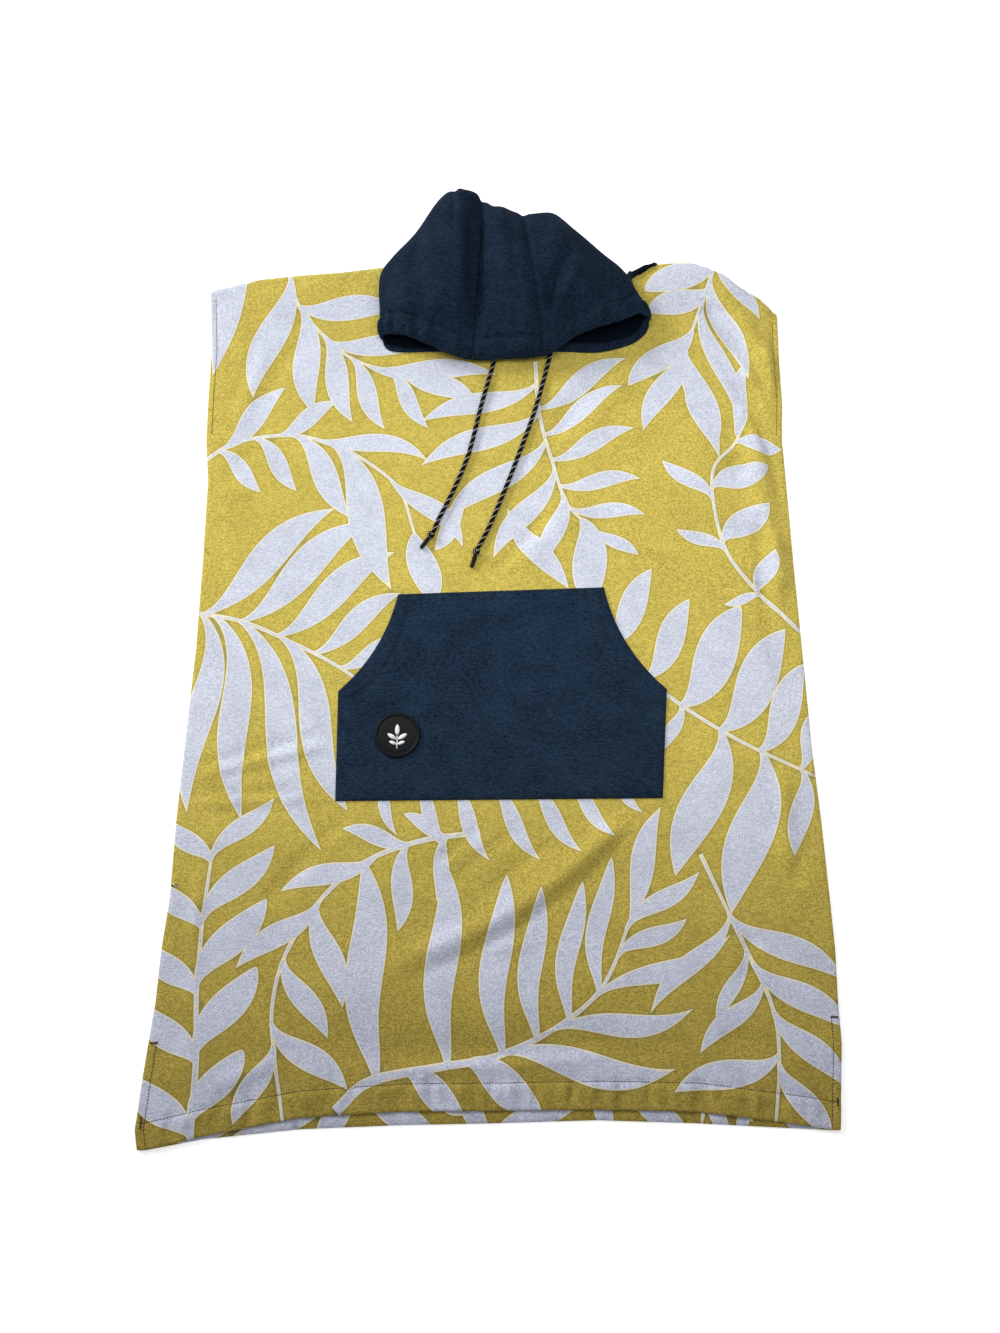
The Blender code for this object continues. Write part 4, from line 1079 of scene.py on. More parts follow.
def mesh_from(name, points, faces):
    mesh = bpy.data.meshes.new(name)
    mesh.from_pydata([tuple(p) for p in points], [], [tuple(f) for f in faces])
    mesh.validate()
    return mesh


def printed_panel(name, flat, faces, depth, leafy, heights, normals, thickness, floor):
    """The closed wall of a printed panel, with its print depth kept at every face corner."""
    outer = np.column_stack((flat, heights))
    inner = outer - thickness * normals
    inner[:, 2] = np.maximum(inner[:, 2], floor)
    pairs = np.concatenate((faces[:, [0, 1]], faces[:, [1, 2]], faces[:, [2, 0]]))
    owner = np.tile(np.arange(len(faces)), 3)
    known = set(map(tuple, pairs))
    rim = [(a, b, o) for (a, b), o in zip(map(tuple, pairs), owner) if (b, a) not in known]
    outer[[a for a, _, _ in rim], 2] -= EDGE_DROP
    count = len(flat)
    rim_faces = [(b, a, a + count, b + count) for a, b, _ in rim]
    mesh = bpy.data.meshes.new(name)
    mesh.from_pydata(
        [tuple(p) for p in np.concatenate((outer, inner))],
        [],
        [tuple(f) for f in faces] + [tuple(f) for f in faces[:, ::-1] + count] + rim_faces,
    )
    hair = EDGE_STEP
    corner = np.where(leafy[:, None], np.maximum(depth[faces], 0) + hair, np.minimum(depth[faces], 0) - hair)
    rim_corner = [
        sum(([depth[v] if abs(depth[v]) > hair else (hair if leafy[o] else -hair)] for v in (b, a, a, b)), [])
        for a, b, o in rim
    ]
    values = np.concatenate((corner.ravel(), corner[:, ::-1].ravel(), np.array(rim_corner).ravel()))
    layer = mesh.attributes.new("print_depth", "FLOAT", "CORNER")
    layer.data.foreach_set("value", values.astype(np.float32))
    return mesh


def walled_grid(name, outer, inner, round_ends=(True, True), outside=0.0, inside=1.0):
    """A closed wall between two grids of points. Its first and last rows get rounded edges."""
    rows, columns = outer.shape[:2]
    loop = [outer[row] for row in range(rows)]
    loop += edge_round(outer[-1], inner[-1], outer[-1] - outer[-2]) if round_ends[1] else []
    loop += [inner[row] for row in range(rows - 1, -1, -1)]
    loop += edge_round(inner[0], outer[0], outer[0] - outer[1]) if round_ends[0] else []
    points = np.concatenate(loop)
    count = len(loop)
    # The 'inside' attribute holds the painted shade of each point: outside for the outer skin and the rounded
    # edges, inside for the inner skin
    underside = np.full((count, columns), outside)
    first_inner = rows + (count - 2 * rows) // 2
    underside[first_inner : first_inner + rows] = np.broadcast_to(inside, (rows, columns))[::-1]
    faces = []
    for row in range(count):
        low, high = row * columns, (row + 1) % count * columns
        faces += [(low + c, low + c + 1, high + c + 1, high + c) for c in range(columns - 1)]
    for c in (0, columns - 1):
        ring = [row * columns + c for row in range(count)]
        half = count // 2
        for i in range(half):
            faces.append((ring[i], ring[i + 1], ring[-i - 2], ring[-i - 1]))
    mesh = mesh_from(name, points, [f for f in faces if len(set(f)) > 2])
    tone = mesh.attributes.new("inside", "FLOAT", "POINT")
    tone.data.foreach_set("value", underside.ravel().astype(np.float32))
    work = bmesh.new()
    work.from_mesh(mesh)
    bmesh.ops.remove_doubles(work, verts=work.verts, dist=1e-6)
    bmesh.ops.recalc_face_normals(work, faces=work.faces)
    work.to_mesh(mesh)
    work.free()
    return mesh


def edge_round(first, last, outwards):
    """Rows of points that round a wall's edge off, from its first skin to its last."""
    outwards = outwards / np.maximum(np.linalg.norm(outwards, axis=-1, keepdims=True), 1e-9)
    middle, arm = (first + last) / 2, (first - last) / 2
    reach = np.linalg.norm(arm, axis=-1, keepdims=True)
    return [
        middle + arm * math.cos(angle) + outwards * reach * math.sin(angle)
        for angle in np.radians((45, 90, 135))
    ]


def tube(name, path, radius, sides):
    """A tube along a path, closed at both ends, with a UV map of turns round it and metres along it."""
    path = np.asarray(path, float)
    radii = np.broadcast_to(radius, (len(path),))
    run = distances(path)
    tangents = np.gradient(path, axis=0)
    tangents /= np.linalg.norm(tangents, axis=1, keepdims=True)
    up = np.array((0.0, 0.0, 1.0))
    work = bmesh.new()
    uv = work.loops.layers.uv.new("along")
    rings = []
    for place, tangent, r in zip(path, tangents, radii):
        side = np.cross(tangent, up)
        side /= np.linalg.norm(side)
        over = np.cross(side, tangent)
        up = over
        rings.append([
            work.verts.new(place + r * (math.cos(a) * side + math.sin(a) * over))
            for a in np.linspace(0, 2 * math.pi, sides, endpoint=False)
        ])
    for i, (low, high) in enumerate(zip(rings, rings[1:])):
        for s in range(sides):
            t = (s + 1) % sides
            face = work.faces.new((low[s], low[t], high[t], high[s]))
            corners = ((s, run[i]), (s + 1, run[i]), (s + 1, run[i + 1]), (s, run[i + 1]))
            for corner, (turn, along) in zip(face.loops, corners):
                corner[uv].uv = (turn / sides, along)
    work.faces.new(rings[0][::-1])
    work.faces.new(rings[-1])
    bmesh.ops.recalc_face_normals(work, faces=work.faces)
    return mesh_of(work, name)


# ---------------------------------------------------------------- form of the hood


def rest_height(x, y):
    """What the hood lies on: the front panel, the back panel, or the surface beyond their neck edges."""
    past_front = ease(1 - (y - neck_edge(x, FRONT)) / FRONT_EDGE_KEEP)
    past_back = ease(1 - (y - neck_edge(x, BACK)) / BACK_EDGE_KEEP)
    front = front_top(x, y) + SEAM_GAP + np.minimum(SLOPE_CLEAR, shoulder_rise(x, y) / 2)
    return np.maximum(front * past_front, (TOWELLING + SEAM_GAP) * past_back)


def hood_stops():
    """The stops of every section, from the face edge over the crest to the neck seam."""
    sections = []
    for name, fx, fy, fz, cx, cy, cz, top_z, neck_x, layer in HOOD_ROWS:
        face, crest = np.array((fx, fy, fz)), np.array((cx, cy, cz))
        neck_y = float(neck_edge(neck_x, BACK if layer == "back" else FRONT)) - NECK_LAP
        neck = np.array((neck_x, neck_y, float(rest_height(neck_x, neck_y))))
        if layer == "front":
            stops = [face + (neck - face) * share for share in np.linspace(0, 1, 7)]
        else:
            out = crest[:2] - HOOD_MIDDLE
            out /= np.linalg.norm(out)
            brow = face + (crest - face) * BROW_SHARE
            brow[2] = face[2] + (top_z - face[2]) * BROW_HEIGHT
            top = face + (crest - face) * TOP_SHARE
            top[2] = top_z
            rear = np.append(crest[:2] + out * REAR_BULGE, crest[2] * REAR_HEIGHT)
            heel = np.append(crest[:2] - out * HEEL_INSET * (crest[2] - HEEL_FROM), 0.0)
            if layer == "side":
                rear = crest + (neck - crest) / 3
                heel = crest + (neck - crest) * 2 / 3
            if name in HOOD_TURNS:
                rear, heel = HOOD_TURNS[name]
            stops = [face, brow, top, crest, rear, heel, neck]
        sections.append(stops)
    return np.array(sections)


def hood_fold_height(around, up, folds):
    around, up = np.meshgrid(around, up, indexing="ij")
    height = np.zeros(around.shape)
    for row0, stop0, row1, stop1, half_width, rise in folds.values():
        run = np.array((row1 - row0, stop1 - stop0))
        share = ((around - row0) * run[0] + (up - stop0) * run[1]) / (run @ run)
        share = np.clip(share, 0, 1)
        away = np.hypot(around - row0 - share * run[0], up - stop0 - share * run[1])
        height += rise * bell(away, half_width)
    return height


def hood_surface(stops, around, up):
    """The hood's outer face at each place around and up."""
    points = np.einsum(
        "ur,vs,rsk->uvk",
        spline_weights(stops.shape[0], around, True),
        spline_weights(stops.shape[1], up, False),
        stops,
    )
    points[..., 2] += hood_fold_height(around, up, HOOD_FOLDS)
    points[..., 2] = np.maximum(points[..., 2], rest_height(points[..., 0], points[..., 1]))
    return points


def hood_relief(surface, around, up, casing):
    """How far the hood's creases, seams and casing stand off its main form."""
    from_edge = from_face_edge(surface)
    rows = around[:, None]
    first, last = STANDING_ROWS
    standing = ease((rows - first) / STANDING_FADE) * ease((last - rows) / STANDING_FADE)
    height = hood_fold_height(around, up, HOOD_CREASES)
    for seam in map(column(HOOD_ROWS, 0).index, ("seam_r", "seam_l")):
        height -= HOOD_SEAM_DIP * bell(rows - seam, HOOD_SEAM_WIDTH)
    in_casing = np.clip(from_edge / casing, 0, 1)
    height += CASING_BULGE * np.sin(math.pi * in_casing) ** CASING_ROUND
    in_pulls = bell(from_edge - CASING_PULLS_AT * casing, CASING_PULLS_REACH * casing)
    height += pulls(rows, CASING_PULLS) * in_pulls
    height += groove(from_edge - casing)
    return height * standing


def from_face_edge(surface):
    """How far each point of the hood lies from the edge of its face opening, along its section."""
    steps = np.linalg.norm(np.diff(surface, axis=1), axis=2)
    return np.concatenate((np.zeros((len(surface), 1)), np.cumsum(steps, axis=1)), axis=1)


def painted_cavity_shade(surface, around):
    """How much painted shade the hood's inner side takes: it darkens within millimetres of the edge at the
    left.
    """
    at_left = ease((around - CAVITY_SHADE_TURNS) / CAVITY_SHADE_FADE)[:, None]
    start = CAVITY_SHADE_RIGHT + (CAVITY_SHADE_LEFT - CAVITY_SHADE_RIGHT) * at_left
    return OUTER_SHADE_SHARE + (1.0 - OUTER_SHADE_SHARE) * ease((from_face_edge(surface) - start) / CAVITY_SHADE_REACH)


def casing_line(surface, around, casing):
    """The line of stitches that closes the drawcord's casing, over the part that stands up."""
    line = []
    for place, row in zip(around, surface):
        if CASING_SEWN[0] < place < CASING_SEWN[1]:
            run = distances(row)
            line.append([np.interp(casing, run, axis) for axis in row.T])
    return [np.array(line)] if len(line) > 1 else []


def hood_normals(stops, around, up):
    last = stops.shape[1] - 1.0
    ahead = hood_surface(stops, around + NUDGE, up)
    behind = hood_surface(stops, around - NUDGE, up)
    above = hood_surface(stops, around, np.minimum(up + NUDGE, last))
    below = hood_surface(stops, around, np.maximum(up - NUDGE, 0.0))
    normals = np.cross(above - below, ahead - behind)
    return normals / np.linalg.norm(normals, axis=-1, keepdims=True)


# ---------------------------------------------------------------- materials

WHITE = (1.0, 1.0, 1.0)
FLECK_PITCH = 0.0105
PLAIT_ALONG = 900.0  # radians for each metre of the cord
PLAIT_ROUND = 12.566  # radians for each turn round it


def new_material(name, constants):
    """A material with its shader's constants set, the tree and the shader."""
    material = bpy.data.materials.new(name)
    material.use_nodes = True
    tree = material.node_tree
    tree.nodes.clear()
    shader = tree.nodes.new("ShaderNodeBsdfPrincipled")
    output = tree.nodes.new("ShaderNodeOutputMaterial")
    tree.links.new(shader.outputs[0], output.inputs[0])
    for socket, value in constants.items():
        shader.inputs[socket].default_value = value
    return material, tree, shader


def put(tree, kind, inputs=None, **settings):
    """A node with its settings made, and its inputs set or linked. Returns its first output."""
    node = tree.nodes.new(kind)
    for key, value in settings.items():
        setattr(node, key, value)
    for place, value in (inputs or {}).items():
        if isinstance(value, bpy.types.NodeSocket):
            tree.links.new(value, node.inputs[place])
        else:
            node.inputs[place].default_value = value
    return node.outputs[0]


def place_on(tree):
    """The place of a point, in the piece's own axes."""
    return put(tree, "ShaderNodeTexCoord").node.outputs["Object"]


def grain(tree, frequency, detail=2.0):
    """Noise from 0 to 1 with so many grains a metre along x, y and z."""
    scaled = put(tree, "ShaderNodeVectorMath", {0: place_on(tree), 1: frequency}, operation="MULTIPLY")
    return put(tree, "ShaderNodeTexNoise", {"Vector": scaled, "Scale": 1.0, "Detail": detail})


def ramp(tree, value, low, high):
    """0 below low, 1 above high, straight between."""
    return put(tree, "ShaderNodeMapRange", {"Value": value, "From Min": low, "From Max": high}, clamp=True)


def blend(tree, share, first, second, how="MIX"):
    """The second colour over the first, by its share."""
    inputs = {0: share, 6: first, 7: second}
    return put(tree, "ShaderNodeMix", inputs, data_type="RGBA", blend_type=how).node.outputs[2]


def multiply(tree, first, second):
    """One colour tinted by another."""
    return blend(tree, 1.0, first, second, "MULTIPLY")


def times(tree, first, second):
    return put(tree, "ShaderNodeMath", {0: first, 1: second}, operation="MULTIPLY")


def plus(tree, first, second):
    return put(tree, "ShaderNodeMath", {0: first, 1: second}, operation="ADD")


def add_bump(tree, shader, height, distance):
    normal = put(tree, "ShaderNodeBump", {"Height": height, "Distance": distance, "Strength": 1.0})
    tree.links.new(normal, shader.inputs["Normal"])


def rgba(colour, share=1.0):
    """The colour, or a darker one that is a share of it, with its alpha."""
    return (*(share * c for c in colour), 1.0)


def grained(name, grains, detail, dark, light, bump, constants):
    """A plain finish whose tone, and its relief where it has one, follow a fine grain."""
    material, tree, shader = new_material(name, constants)
    fine = grain(tree, (grains, grains, grains), detail)
    tree.links.new(blend(tree, fine, dark, light), shader.inputs["Base Color"])
    if bump:
        add_bump(tree, shader, fine, bump)
    return material


def printed_towelling(colours):
    """Heathered towelling with pale leaves: a cream line inside a leaf's edge, a darker one outside it, and
    painted shade that darkens it towards the hem.
    """
    constants = {"Roughness": 0.92, "Specular IOR Level": 0.10, "Sheen Weight": 0.05}
    material, tree, shader = new_material("printed_pile", constants)
    fine = grain(tree, (620.0, 660.0, 620.0), 2.0)
    slub = grain(tree, (230.0, 330.0, 230.0), 3.0)
    cloudy = grain(tree, (22.0, 26.0, 22.0), 3.0)
    heather = plus(tree, times(tree, fine, 0.66), times(tree, slub, 0.34))
    depth = put(tree, "ShaderNodeAttribute", attribute_name="print_depth")
    depth = depth.node.outputs["Fac"]
    frayed = plus(tree, depth, times(tree, plus(tree, fine, -0.5), 0.0012))
    light, dark = rgba(colours.ground_light), rgba(colours.ground_dark)
    ground = blend(tree, ramp(tree, heather, 0.41, 0.59), dark, light)
    ground = blend(tree, ramp(tree, frayed, -0.0022, -0.0004), ground, rgba(colours.ground_edge))
    leaf_tone = blend(tree, ramp(tree, heather, 0.40, 0.60), rgba(colours.leaf_grey), rgba(colours.leaf))
    rim = ramp(tree, frayed, 0.0021, 0.0011)
    inked = blend(tree, rim, leaf_tone, rgba(colours.leaf_rim))
    cloth = blend(tree, ramp(tree, depth, -0.0001, 0.0001), ground, inked)
    shade = blend(tree, ramp(tree, cloudy, 0.35, 0.65), rgba(WHITE, 0.90), rgba(WHITE))
    shaded = multiply(tree, cloth, shade)
    # Painted shade: the cloth's colour darkens towards the hem, by its place up the garment, standing in for
    # light that falls off there
    up = put(tree, "ShaderNodeSeparateXYZ", {0: place_on(tree)})
    unshaded_share = ramp(tree, up.node.outputs[1], -0.58, -0.15)
    tint = blend(tree, ramp(tree, depth, -0.0001, 0.0001), rgba(colours.ground_hem_shade), rgba(colours.leaf_hem_shade))
    painted_hem_shade = blend(tree, unshaded_share, tint, rgba(WHITE))
    tree.links.new(multiply(tree, shaded, painted_hem_shade), shader.inputs["Base Color"])
    pile = plus(tree, heather, times(tree, ramp(tree, depth, -0.0012, 0.0012), 0.35))
    add_bump(tree, shader, pile, 0.0011)
    return material


def navy_fleece(colours):
    """Brushed navy fleece with a fine paler fleck, darkened by painted shade where its 'inside' attribute
    says.
    """
    constants = {
        "Roughness": 0.95,
        "Specular IOR Level": 0.06,
        "Sheen Weight": 0.028,
        "Sheen Roughness": 0.5,
        "Sheen Tint": (0.45, 0.60, 0.85, 1.0),
    }
    material, tree, shader = new_material("navy_pile", constants)
    fine = grain(tree, (560.0, 560.0, 560.0), 3.0)
    thread = grain(tree, (170.0, 420.0, 170.0), 3.0)
    cloudy = grain(tree, (28.0, 32.0, 28.0), 3.0)
    mixed = plus(tree, times(tree, fine, 0.45), times(tree, thread, 0.35))
    mixed = plus(tree, mixed, times(tree, cloudy, 0.20))
    tone = blend(tree, ramp(tree, mixed, 0.37, 0.63), rgba(colours.navy_dark), rgba(colours.navy_light))
    # Painted shade: the 'inside' attribute darkens the fleece in the hood's cavity, evenly a little over the
    # hood's outer face, and fully under the pocket
    inside = put(tree, "ShaderNodeAttribute", attribute_name="inside")
    hollow_shade = blend(tree, inside.node.outputs["Fac"], rgba(WHITE), rgba((0.12, 0.16, 0.18)))
    tree.links.new(multiply(tree, tone, hollow_shade), shader.inputs["Base Color"])
    add_bump(tree, shader, mixed, 0.0009)
    return material


def moulded_rubber(colours):
    """Black rubber with a soft gloss."""
    dark, light = rgba(colours.rubber, 0.5), rgba(colours.rubber)
    constants = {"Roughness": 0.48, "Specular IOR Level": 0.13}
    return grained("patch_rubber", 900.0, 2.0, dark, light, 0.00008, constants)


def plain_rubber_white(colours):
    """The white rubber of the patch's leaves."""
    dark, light = rgba(colours.motif, 0.85), rgba(colours.motif)
    return grained("patch_white", 700.0, 2.0, dark, light, 0, {"Roughness": 0.5})


def flecked_braid(colours):
    """Dark braid with short pale flecks that wind round it. It reads the cord's own UV map."""
    constants = {"Roughness": 0.8, "Specular IOR Level": 0.12}
    material, tree, shader = new_material("flecked_braid", constants)
    uv = put(tree, "ShaderNodeUVMap", uv_map="along")
    parts = put(tree, "ShaderNodeSeparateXYZ", {0: uv})
    turn, along = parts, parts.node.outputs[1]
    winding = plus(tree, times(tree, along, 1 / FLECK_PITCH), times(tree, turn, 2.0))
    place = put(tree, "ShaderNodeMath", {0: winding, 1: 1.0}, operation="FRACT")
    fleck = times(tree, ramp(tree, place, 0.02, 0.05), ramp(tree, place, 0.20, 0.16))
    plaits = [
        plus(tree, times(tree, along, PLAIT_ALONG), times(tree, turn, way * PLAIT_ROUND)) for way in (1, -1)
    ]
    ridges = plus(tree, *(put(tree, "ShaderNodeMath", {0: plait}, operation="SINE") for plait in plaits))
    tone = blend(tree, fleck, rgba(colours.cord), rgba(colours.fleck))
    tree.links.new(tone, shader.inputs["Base Color"])
    add_bump(tree, shader, ridges, 0.0003)
    return material


def sewing_thread(name, colour):
    """Twisted thread, a little uneven in tone."""
    return grained(name, 1500.0, 2.0, rgba(colour, 0.6), rgba(colour), 0.0001, {"Roughness": 0.6})


def sealed_end(colours):
    """The dipped, melted end of a cord."""
    dark, light = rgba(colours.rubber), rgba((0.009, 0.008, 0.008))
    constants = {"Roughness": 0.6, "Specular IOR Level": 0.15}
    return grained("dipped_end", 500.0, 3.0, dark, light, 0.0004, constants)


MATERIALS = {
    "printed_pile": printed_towelling,
    "navy_pile": navy_fleece,
    "patch_rubber": moulded_rubber,
    "patch_white": plain_rubber_white,
    "flecked_braid": flecked_braid,
    "dipped_end": sealed_end,
}
# The colour that each thread takes
THREADS = {"dark_thread": "thread", "navy_thread": "navy_thread", "white_thread": "motif"}


def finish_of(name):
    """One of the garment's materials, made once."""
    colours = bpy.context.scene.poncho_colours
    known = bpy.data.materials.get(name)
    if known:
        return known
    if name in THREADS:
        return sewing_thread(name, getattr(colours, THREADS[name]))
    return MATERIALS[name](colours)


# ---------------------------------------------------------------- sizes and colours to change


class PonchoColours(bpy.types.PropertyGroup):
    """Colours of the cloth, its print and its trims."""

    def tint(label, default):
        return FloatVectorProperty(
            name=label, description=f"{label}, linear", subtype="COLOR", size=3, min=0, max=1, default=default
        )

    ground_light: tint("Ground, light yarn", (0.770, 0.620, 0.130))
    ground_dark: tint("Ground, dark yarn", (0.440, 0.345, 0.060))
    ground_edge: tint("Line outside a leaf's edge", (0.400, 0.345, 0.100))
    # Painted shade: these two tints darken the ground and the leaves towards the hem
    ground_hem_shade: tint("Ground's tint towards the hem", (0.550, 0.515, 0.524))
    leaf_hem_shade: tint("Leaf's tint towards the hem", (0.770, 0.761, 0.808))
    leaf: tint("Leaf", (0.800, 0.830, 0.930))
    leaf_grey: tint("Leaf, grey yarn", (0.520, 0.555, 0.670))
    leaf_rim: tint("Line inside a leaf's edge", (0.920, 0.830, 0.560))
    navy_light: tint("Fleece, light fleck", (0.0208, 0.0408, 0.0738))
    navy_dark: tint("Fleece, dark", (0.0020, 0.0080, 0.0190))
    rubber: tint("Rubber", (0.0050, 0.0065, 0.0085))
    motif: tint("Motif of the patch", (0.90, 0.91, 0.93))
    cord: tint("Cord", (0.0022, 0.0026, 0.0034))
    fleck: tint("Cord's fleck", (0.420, 0.400, 0.380))
    thread: tint("Topstitching", (0.022, 0.020, 0.028))
    navy_thread: tint("Fleece's stitching", (0.0020, 0.0045, 0.0110))


class PonchoSizes(bpy.types.PropertyGroup):
    """Sizes of the sewing and of the patch."""

    def length(label, description, default):
        return FloatProperty(
            name=label, description=description, default=default, subtype="DISTANCE", unit="LENGTH"
        )

    stitch_pitch: length("Stitch pitch", "From stitch to stitch", 0.0033)
    stitch_length: length("Stitch length", "Length of a stitch", 0.0031)
    stitch_radius: length("Thread radius", "Radius of the thread", 0.00048)
    badge_radius: length("Patch radius", "Radius of the patch", 0.027)
    hood_detail: IntProperty(
        name="Hood detail", description="Columns between two sections of the hood", default=10, min=2, max=16
    )
    casing: length("Casing", "Width of the hood's drawcord casing", 0.026)


# ---------------------------------------------------------------- stitches


def stitch_nodes():
    """Geometry Nodes that lay one stitch after another along the lines they are given."""
    known = bpy.data.node_groups.get("stitches")
    if known:
        return known
    tree = bpy.data.node_groups.new("stitches", "GeometryNodeTree")
    tree.interface.new_socket("Lines", in_out="INPUT", socket_type="NodeSocketGeometry")
    for name in ("Pitch", "Length", "Radius"):
        socket = tree.interface.new_socket(name, in_out="INPUT", socket_type="NodeSocketFloat")
        socket.subtype = "DISTANCE"
    tree.interface.new_socket("Thread", in_out="INPUT", socket_type="NodeSocketMaterial")
    tree.interface.new_socket("Stitches", in_out="OUTPUT", socket_type="NodeSocketGeometry")
    lines, pitch, length, radius, thread = tree.nodes.new("NodeGroupInput").outputs[:5]
    seam = put(tree, "GeometryNodeMeshToCurve", {"Mesh": lines})
    seam = put(tree, "GeometryNodeResampleCurve", {"Curve": seam, "Length": pitch}, mode="LENGTH")
    half = put(tree, "ShaderNodeMath", {0: length, 1: 0.5}, operation="MULTIPLY")
    size = put(tree, "ShaderNodeCombineXYZ", {0: half, 1: radius, 2: radius})
    bead = put(tree, "GeometryNodeMeshUVSphere", {"Segments": 6, "Rings": 4, "Radius": 1.0})
    bead = put(tree, "GeometryNodeTransform", {"Geometry": bead, "Scale": size})
    along = put(tree, "GeometryNodeInputTangent")
    heading = put(tree, "FunctionNodeAlignRotationToVector", {"Vector": along}, axis="X")
    laid = put(tree, "GeometryNodeInstanceOnPoints", {"Points": seam, "Instance": bead, "Rotation": heading})
    laid = put(tree, "GeometryNodeRealizeInstances", {0: laid})
    laid = put(tree, "GeometryNodeSetMaterial", {"Geometry": laid, "Material": thread})
    tree.links.new(laid, tree.nodes.new("NodeGroupOutput").inputs[0])
    return tree


def sew(name, lines, thread):
    """A piece of stitches along lines of points."""
    sizes = bpy.context.scene.poncho_sizes
    guide_mesh = bpy.data.meshes.new(name + "_lines")
    edges, start = [], 0
    for line in lines:
        edges += [(start + i, start + i + 1) for i in range(len(line) - 1)]
        start += len(line)
    guide_mesh.from_pydata([tuple(p) for p in np.concatenate(lines)], edges, [])
    guide = bpy.data.objects.new(name + "_lines", guide_mesh)
    bpy.context.scene.collection.objects.link(guide)
    modifier = guide.modifiers.new("stitches", "NODES")
    modifier.node_group = stitch_nodes()
    values = {
        "Pitch": sizes.stitch_pitch,
        "Length": sizes.stitch_length,
        "Radius": sizes.stitch_radius,
        "Thread": finish_of(thread),
    }
    for socket in modifier.node_group.interface.items_tree:
        if socket.name in values:
            modifier[socket.identifier] = values[socket.name]
    mesh = bpy.data.meshes.new_from_object(guide.evaluated_get(bpy.context.evaluated_depsgraph_get()))
    mesh.name = name
    bpy.data.objects.remove(guide)
    return add_piece(name, mesh, finish_of(thread))


def bartacks(name, places, thread):
    """Short zigzags of thread: middle across and up, heading, length, width."""
    work = bmesh.new()
    radius = TACK_THREAD * bpy.context.scene.poncho_sizes.stitch_radius
    for x, y, heading, length, width in places:
        along = towards(heading)
        side = np.array((-along[1], along[0]))
        swing = np.array([(-1) ** i for i in range(TACK_STROKES)]) / 2
        shares = np.linspace(-0.5, 0.5, TACK_STROKES)
        flat = np.array((x, y)) + shares[:, None] * length * along + swing[:, None] * width * side
        tack = tube(name, on_front(resample(flat, TACK_POINTS), radius), radius, 5)
        work.from_mesh(tack)
        bpy.data.meshes.remove(tack)
    return add_piece(name, mesh_of(work, name), finish_of(thread))


# ---------------------------------------------------------------- pieces


FLOOR_SIZE = 40.0
FLOOR_BELOW = 0.0002
FLOOR_GLOW = 0.45
ROOM_LIGHT = 0.38
# Lights: place, what it points at, size, power
LIGHTS = {
    "overhead_bar": ((0.12, 0.17, 0.80), (0.12, 0.17, 0.0), (1.3, 0.35), 4.1),
    "window": ((-3.3, 2.55, 2.02), (0.0, 0.0, 0.0), (1.2, 1.05), 148.0),
}
LENS = 27.0
CAMERA_PLACE = (0.008, -0.390, 1.178)
CAMERA_TILT = math.radians(16.0)


class PONCHO_OT_stage(bpy.types.Operator):
    """Adds the pale floor, the soft light and the camera"""

    bl_idname = "poncho.stage"
    bl_label = "Stage"

    def execute(self, context):
        scene = context.scene
        scene.view_settings.view_transform = "Standard"
        bpy.ops.mesh.primitive_plane_add(size=FLOOR_SIZE, location=(0, 0, -FLOOR_BELOW))
        floor = context.object
        floor.name = "floor"
        constants = {"Roughness": 0.9, "Emission Color": rgba(WHITE), "Emission Strength": FLOOR_GLOW}
        paint = grained("pale_floor", 3.0, 2.0, rgba(WHITE, 0.90), rgba(WHITE, 0.93), 0, constants)
        floor.data.materials.append(paint)
        world = bpy.data.worlds.new("soft_room")
        world.use_nodes = True
        background = world.node_tree.nodes["Background"]
        background.inputs["Color"].default_value = rgba(WHITE)
        background.inputs["Strength"].default_value = ROOM_LIGHT
        scene.world = world
        for name, settings in LIGHTS.items():
            self.add_light(name, *settings)
        view = bpy.data.cameras.new("camera")
        view.lens = LENS
        camera = bpy.data.objects.new("camera", view)
        camera.location = CAMERA_PLACE
        camera.rotation_euler = (CAMERA_TILT, 0.0, 0.0)
        scene.collection.objects.link(camera)
        scene.camera = camera
        return {"FINISHED"}

    def add_light(self, name, place, target, size, power):
        lamp = bpy.data.lights.new(name, "AREA")
        lamp.shape = "RECTANGLE"
        lamp.size, lamp.size_y = size
        lamp.energy = power
        light = bpy.data.objects.new(name, lamp)
        light.location = place
        light.rotation_euler = (Vector(target) - Vector(place)).to_track_quat("-Z", "Y").to_euler()
        light.visible_camera = False
        bpy.context.scene.collection.objects.link(light)


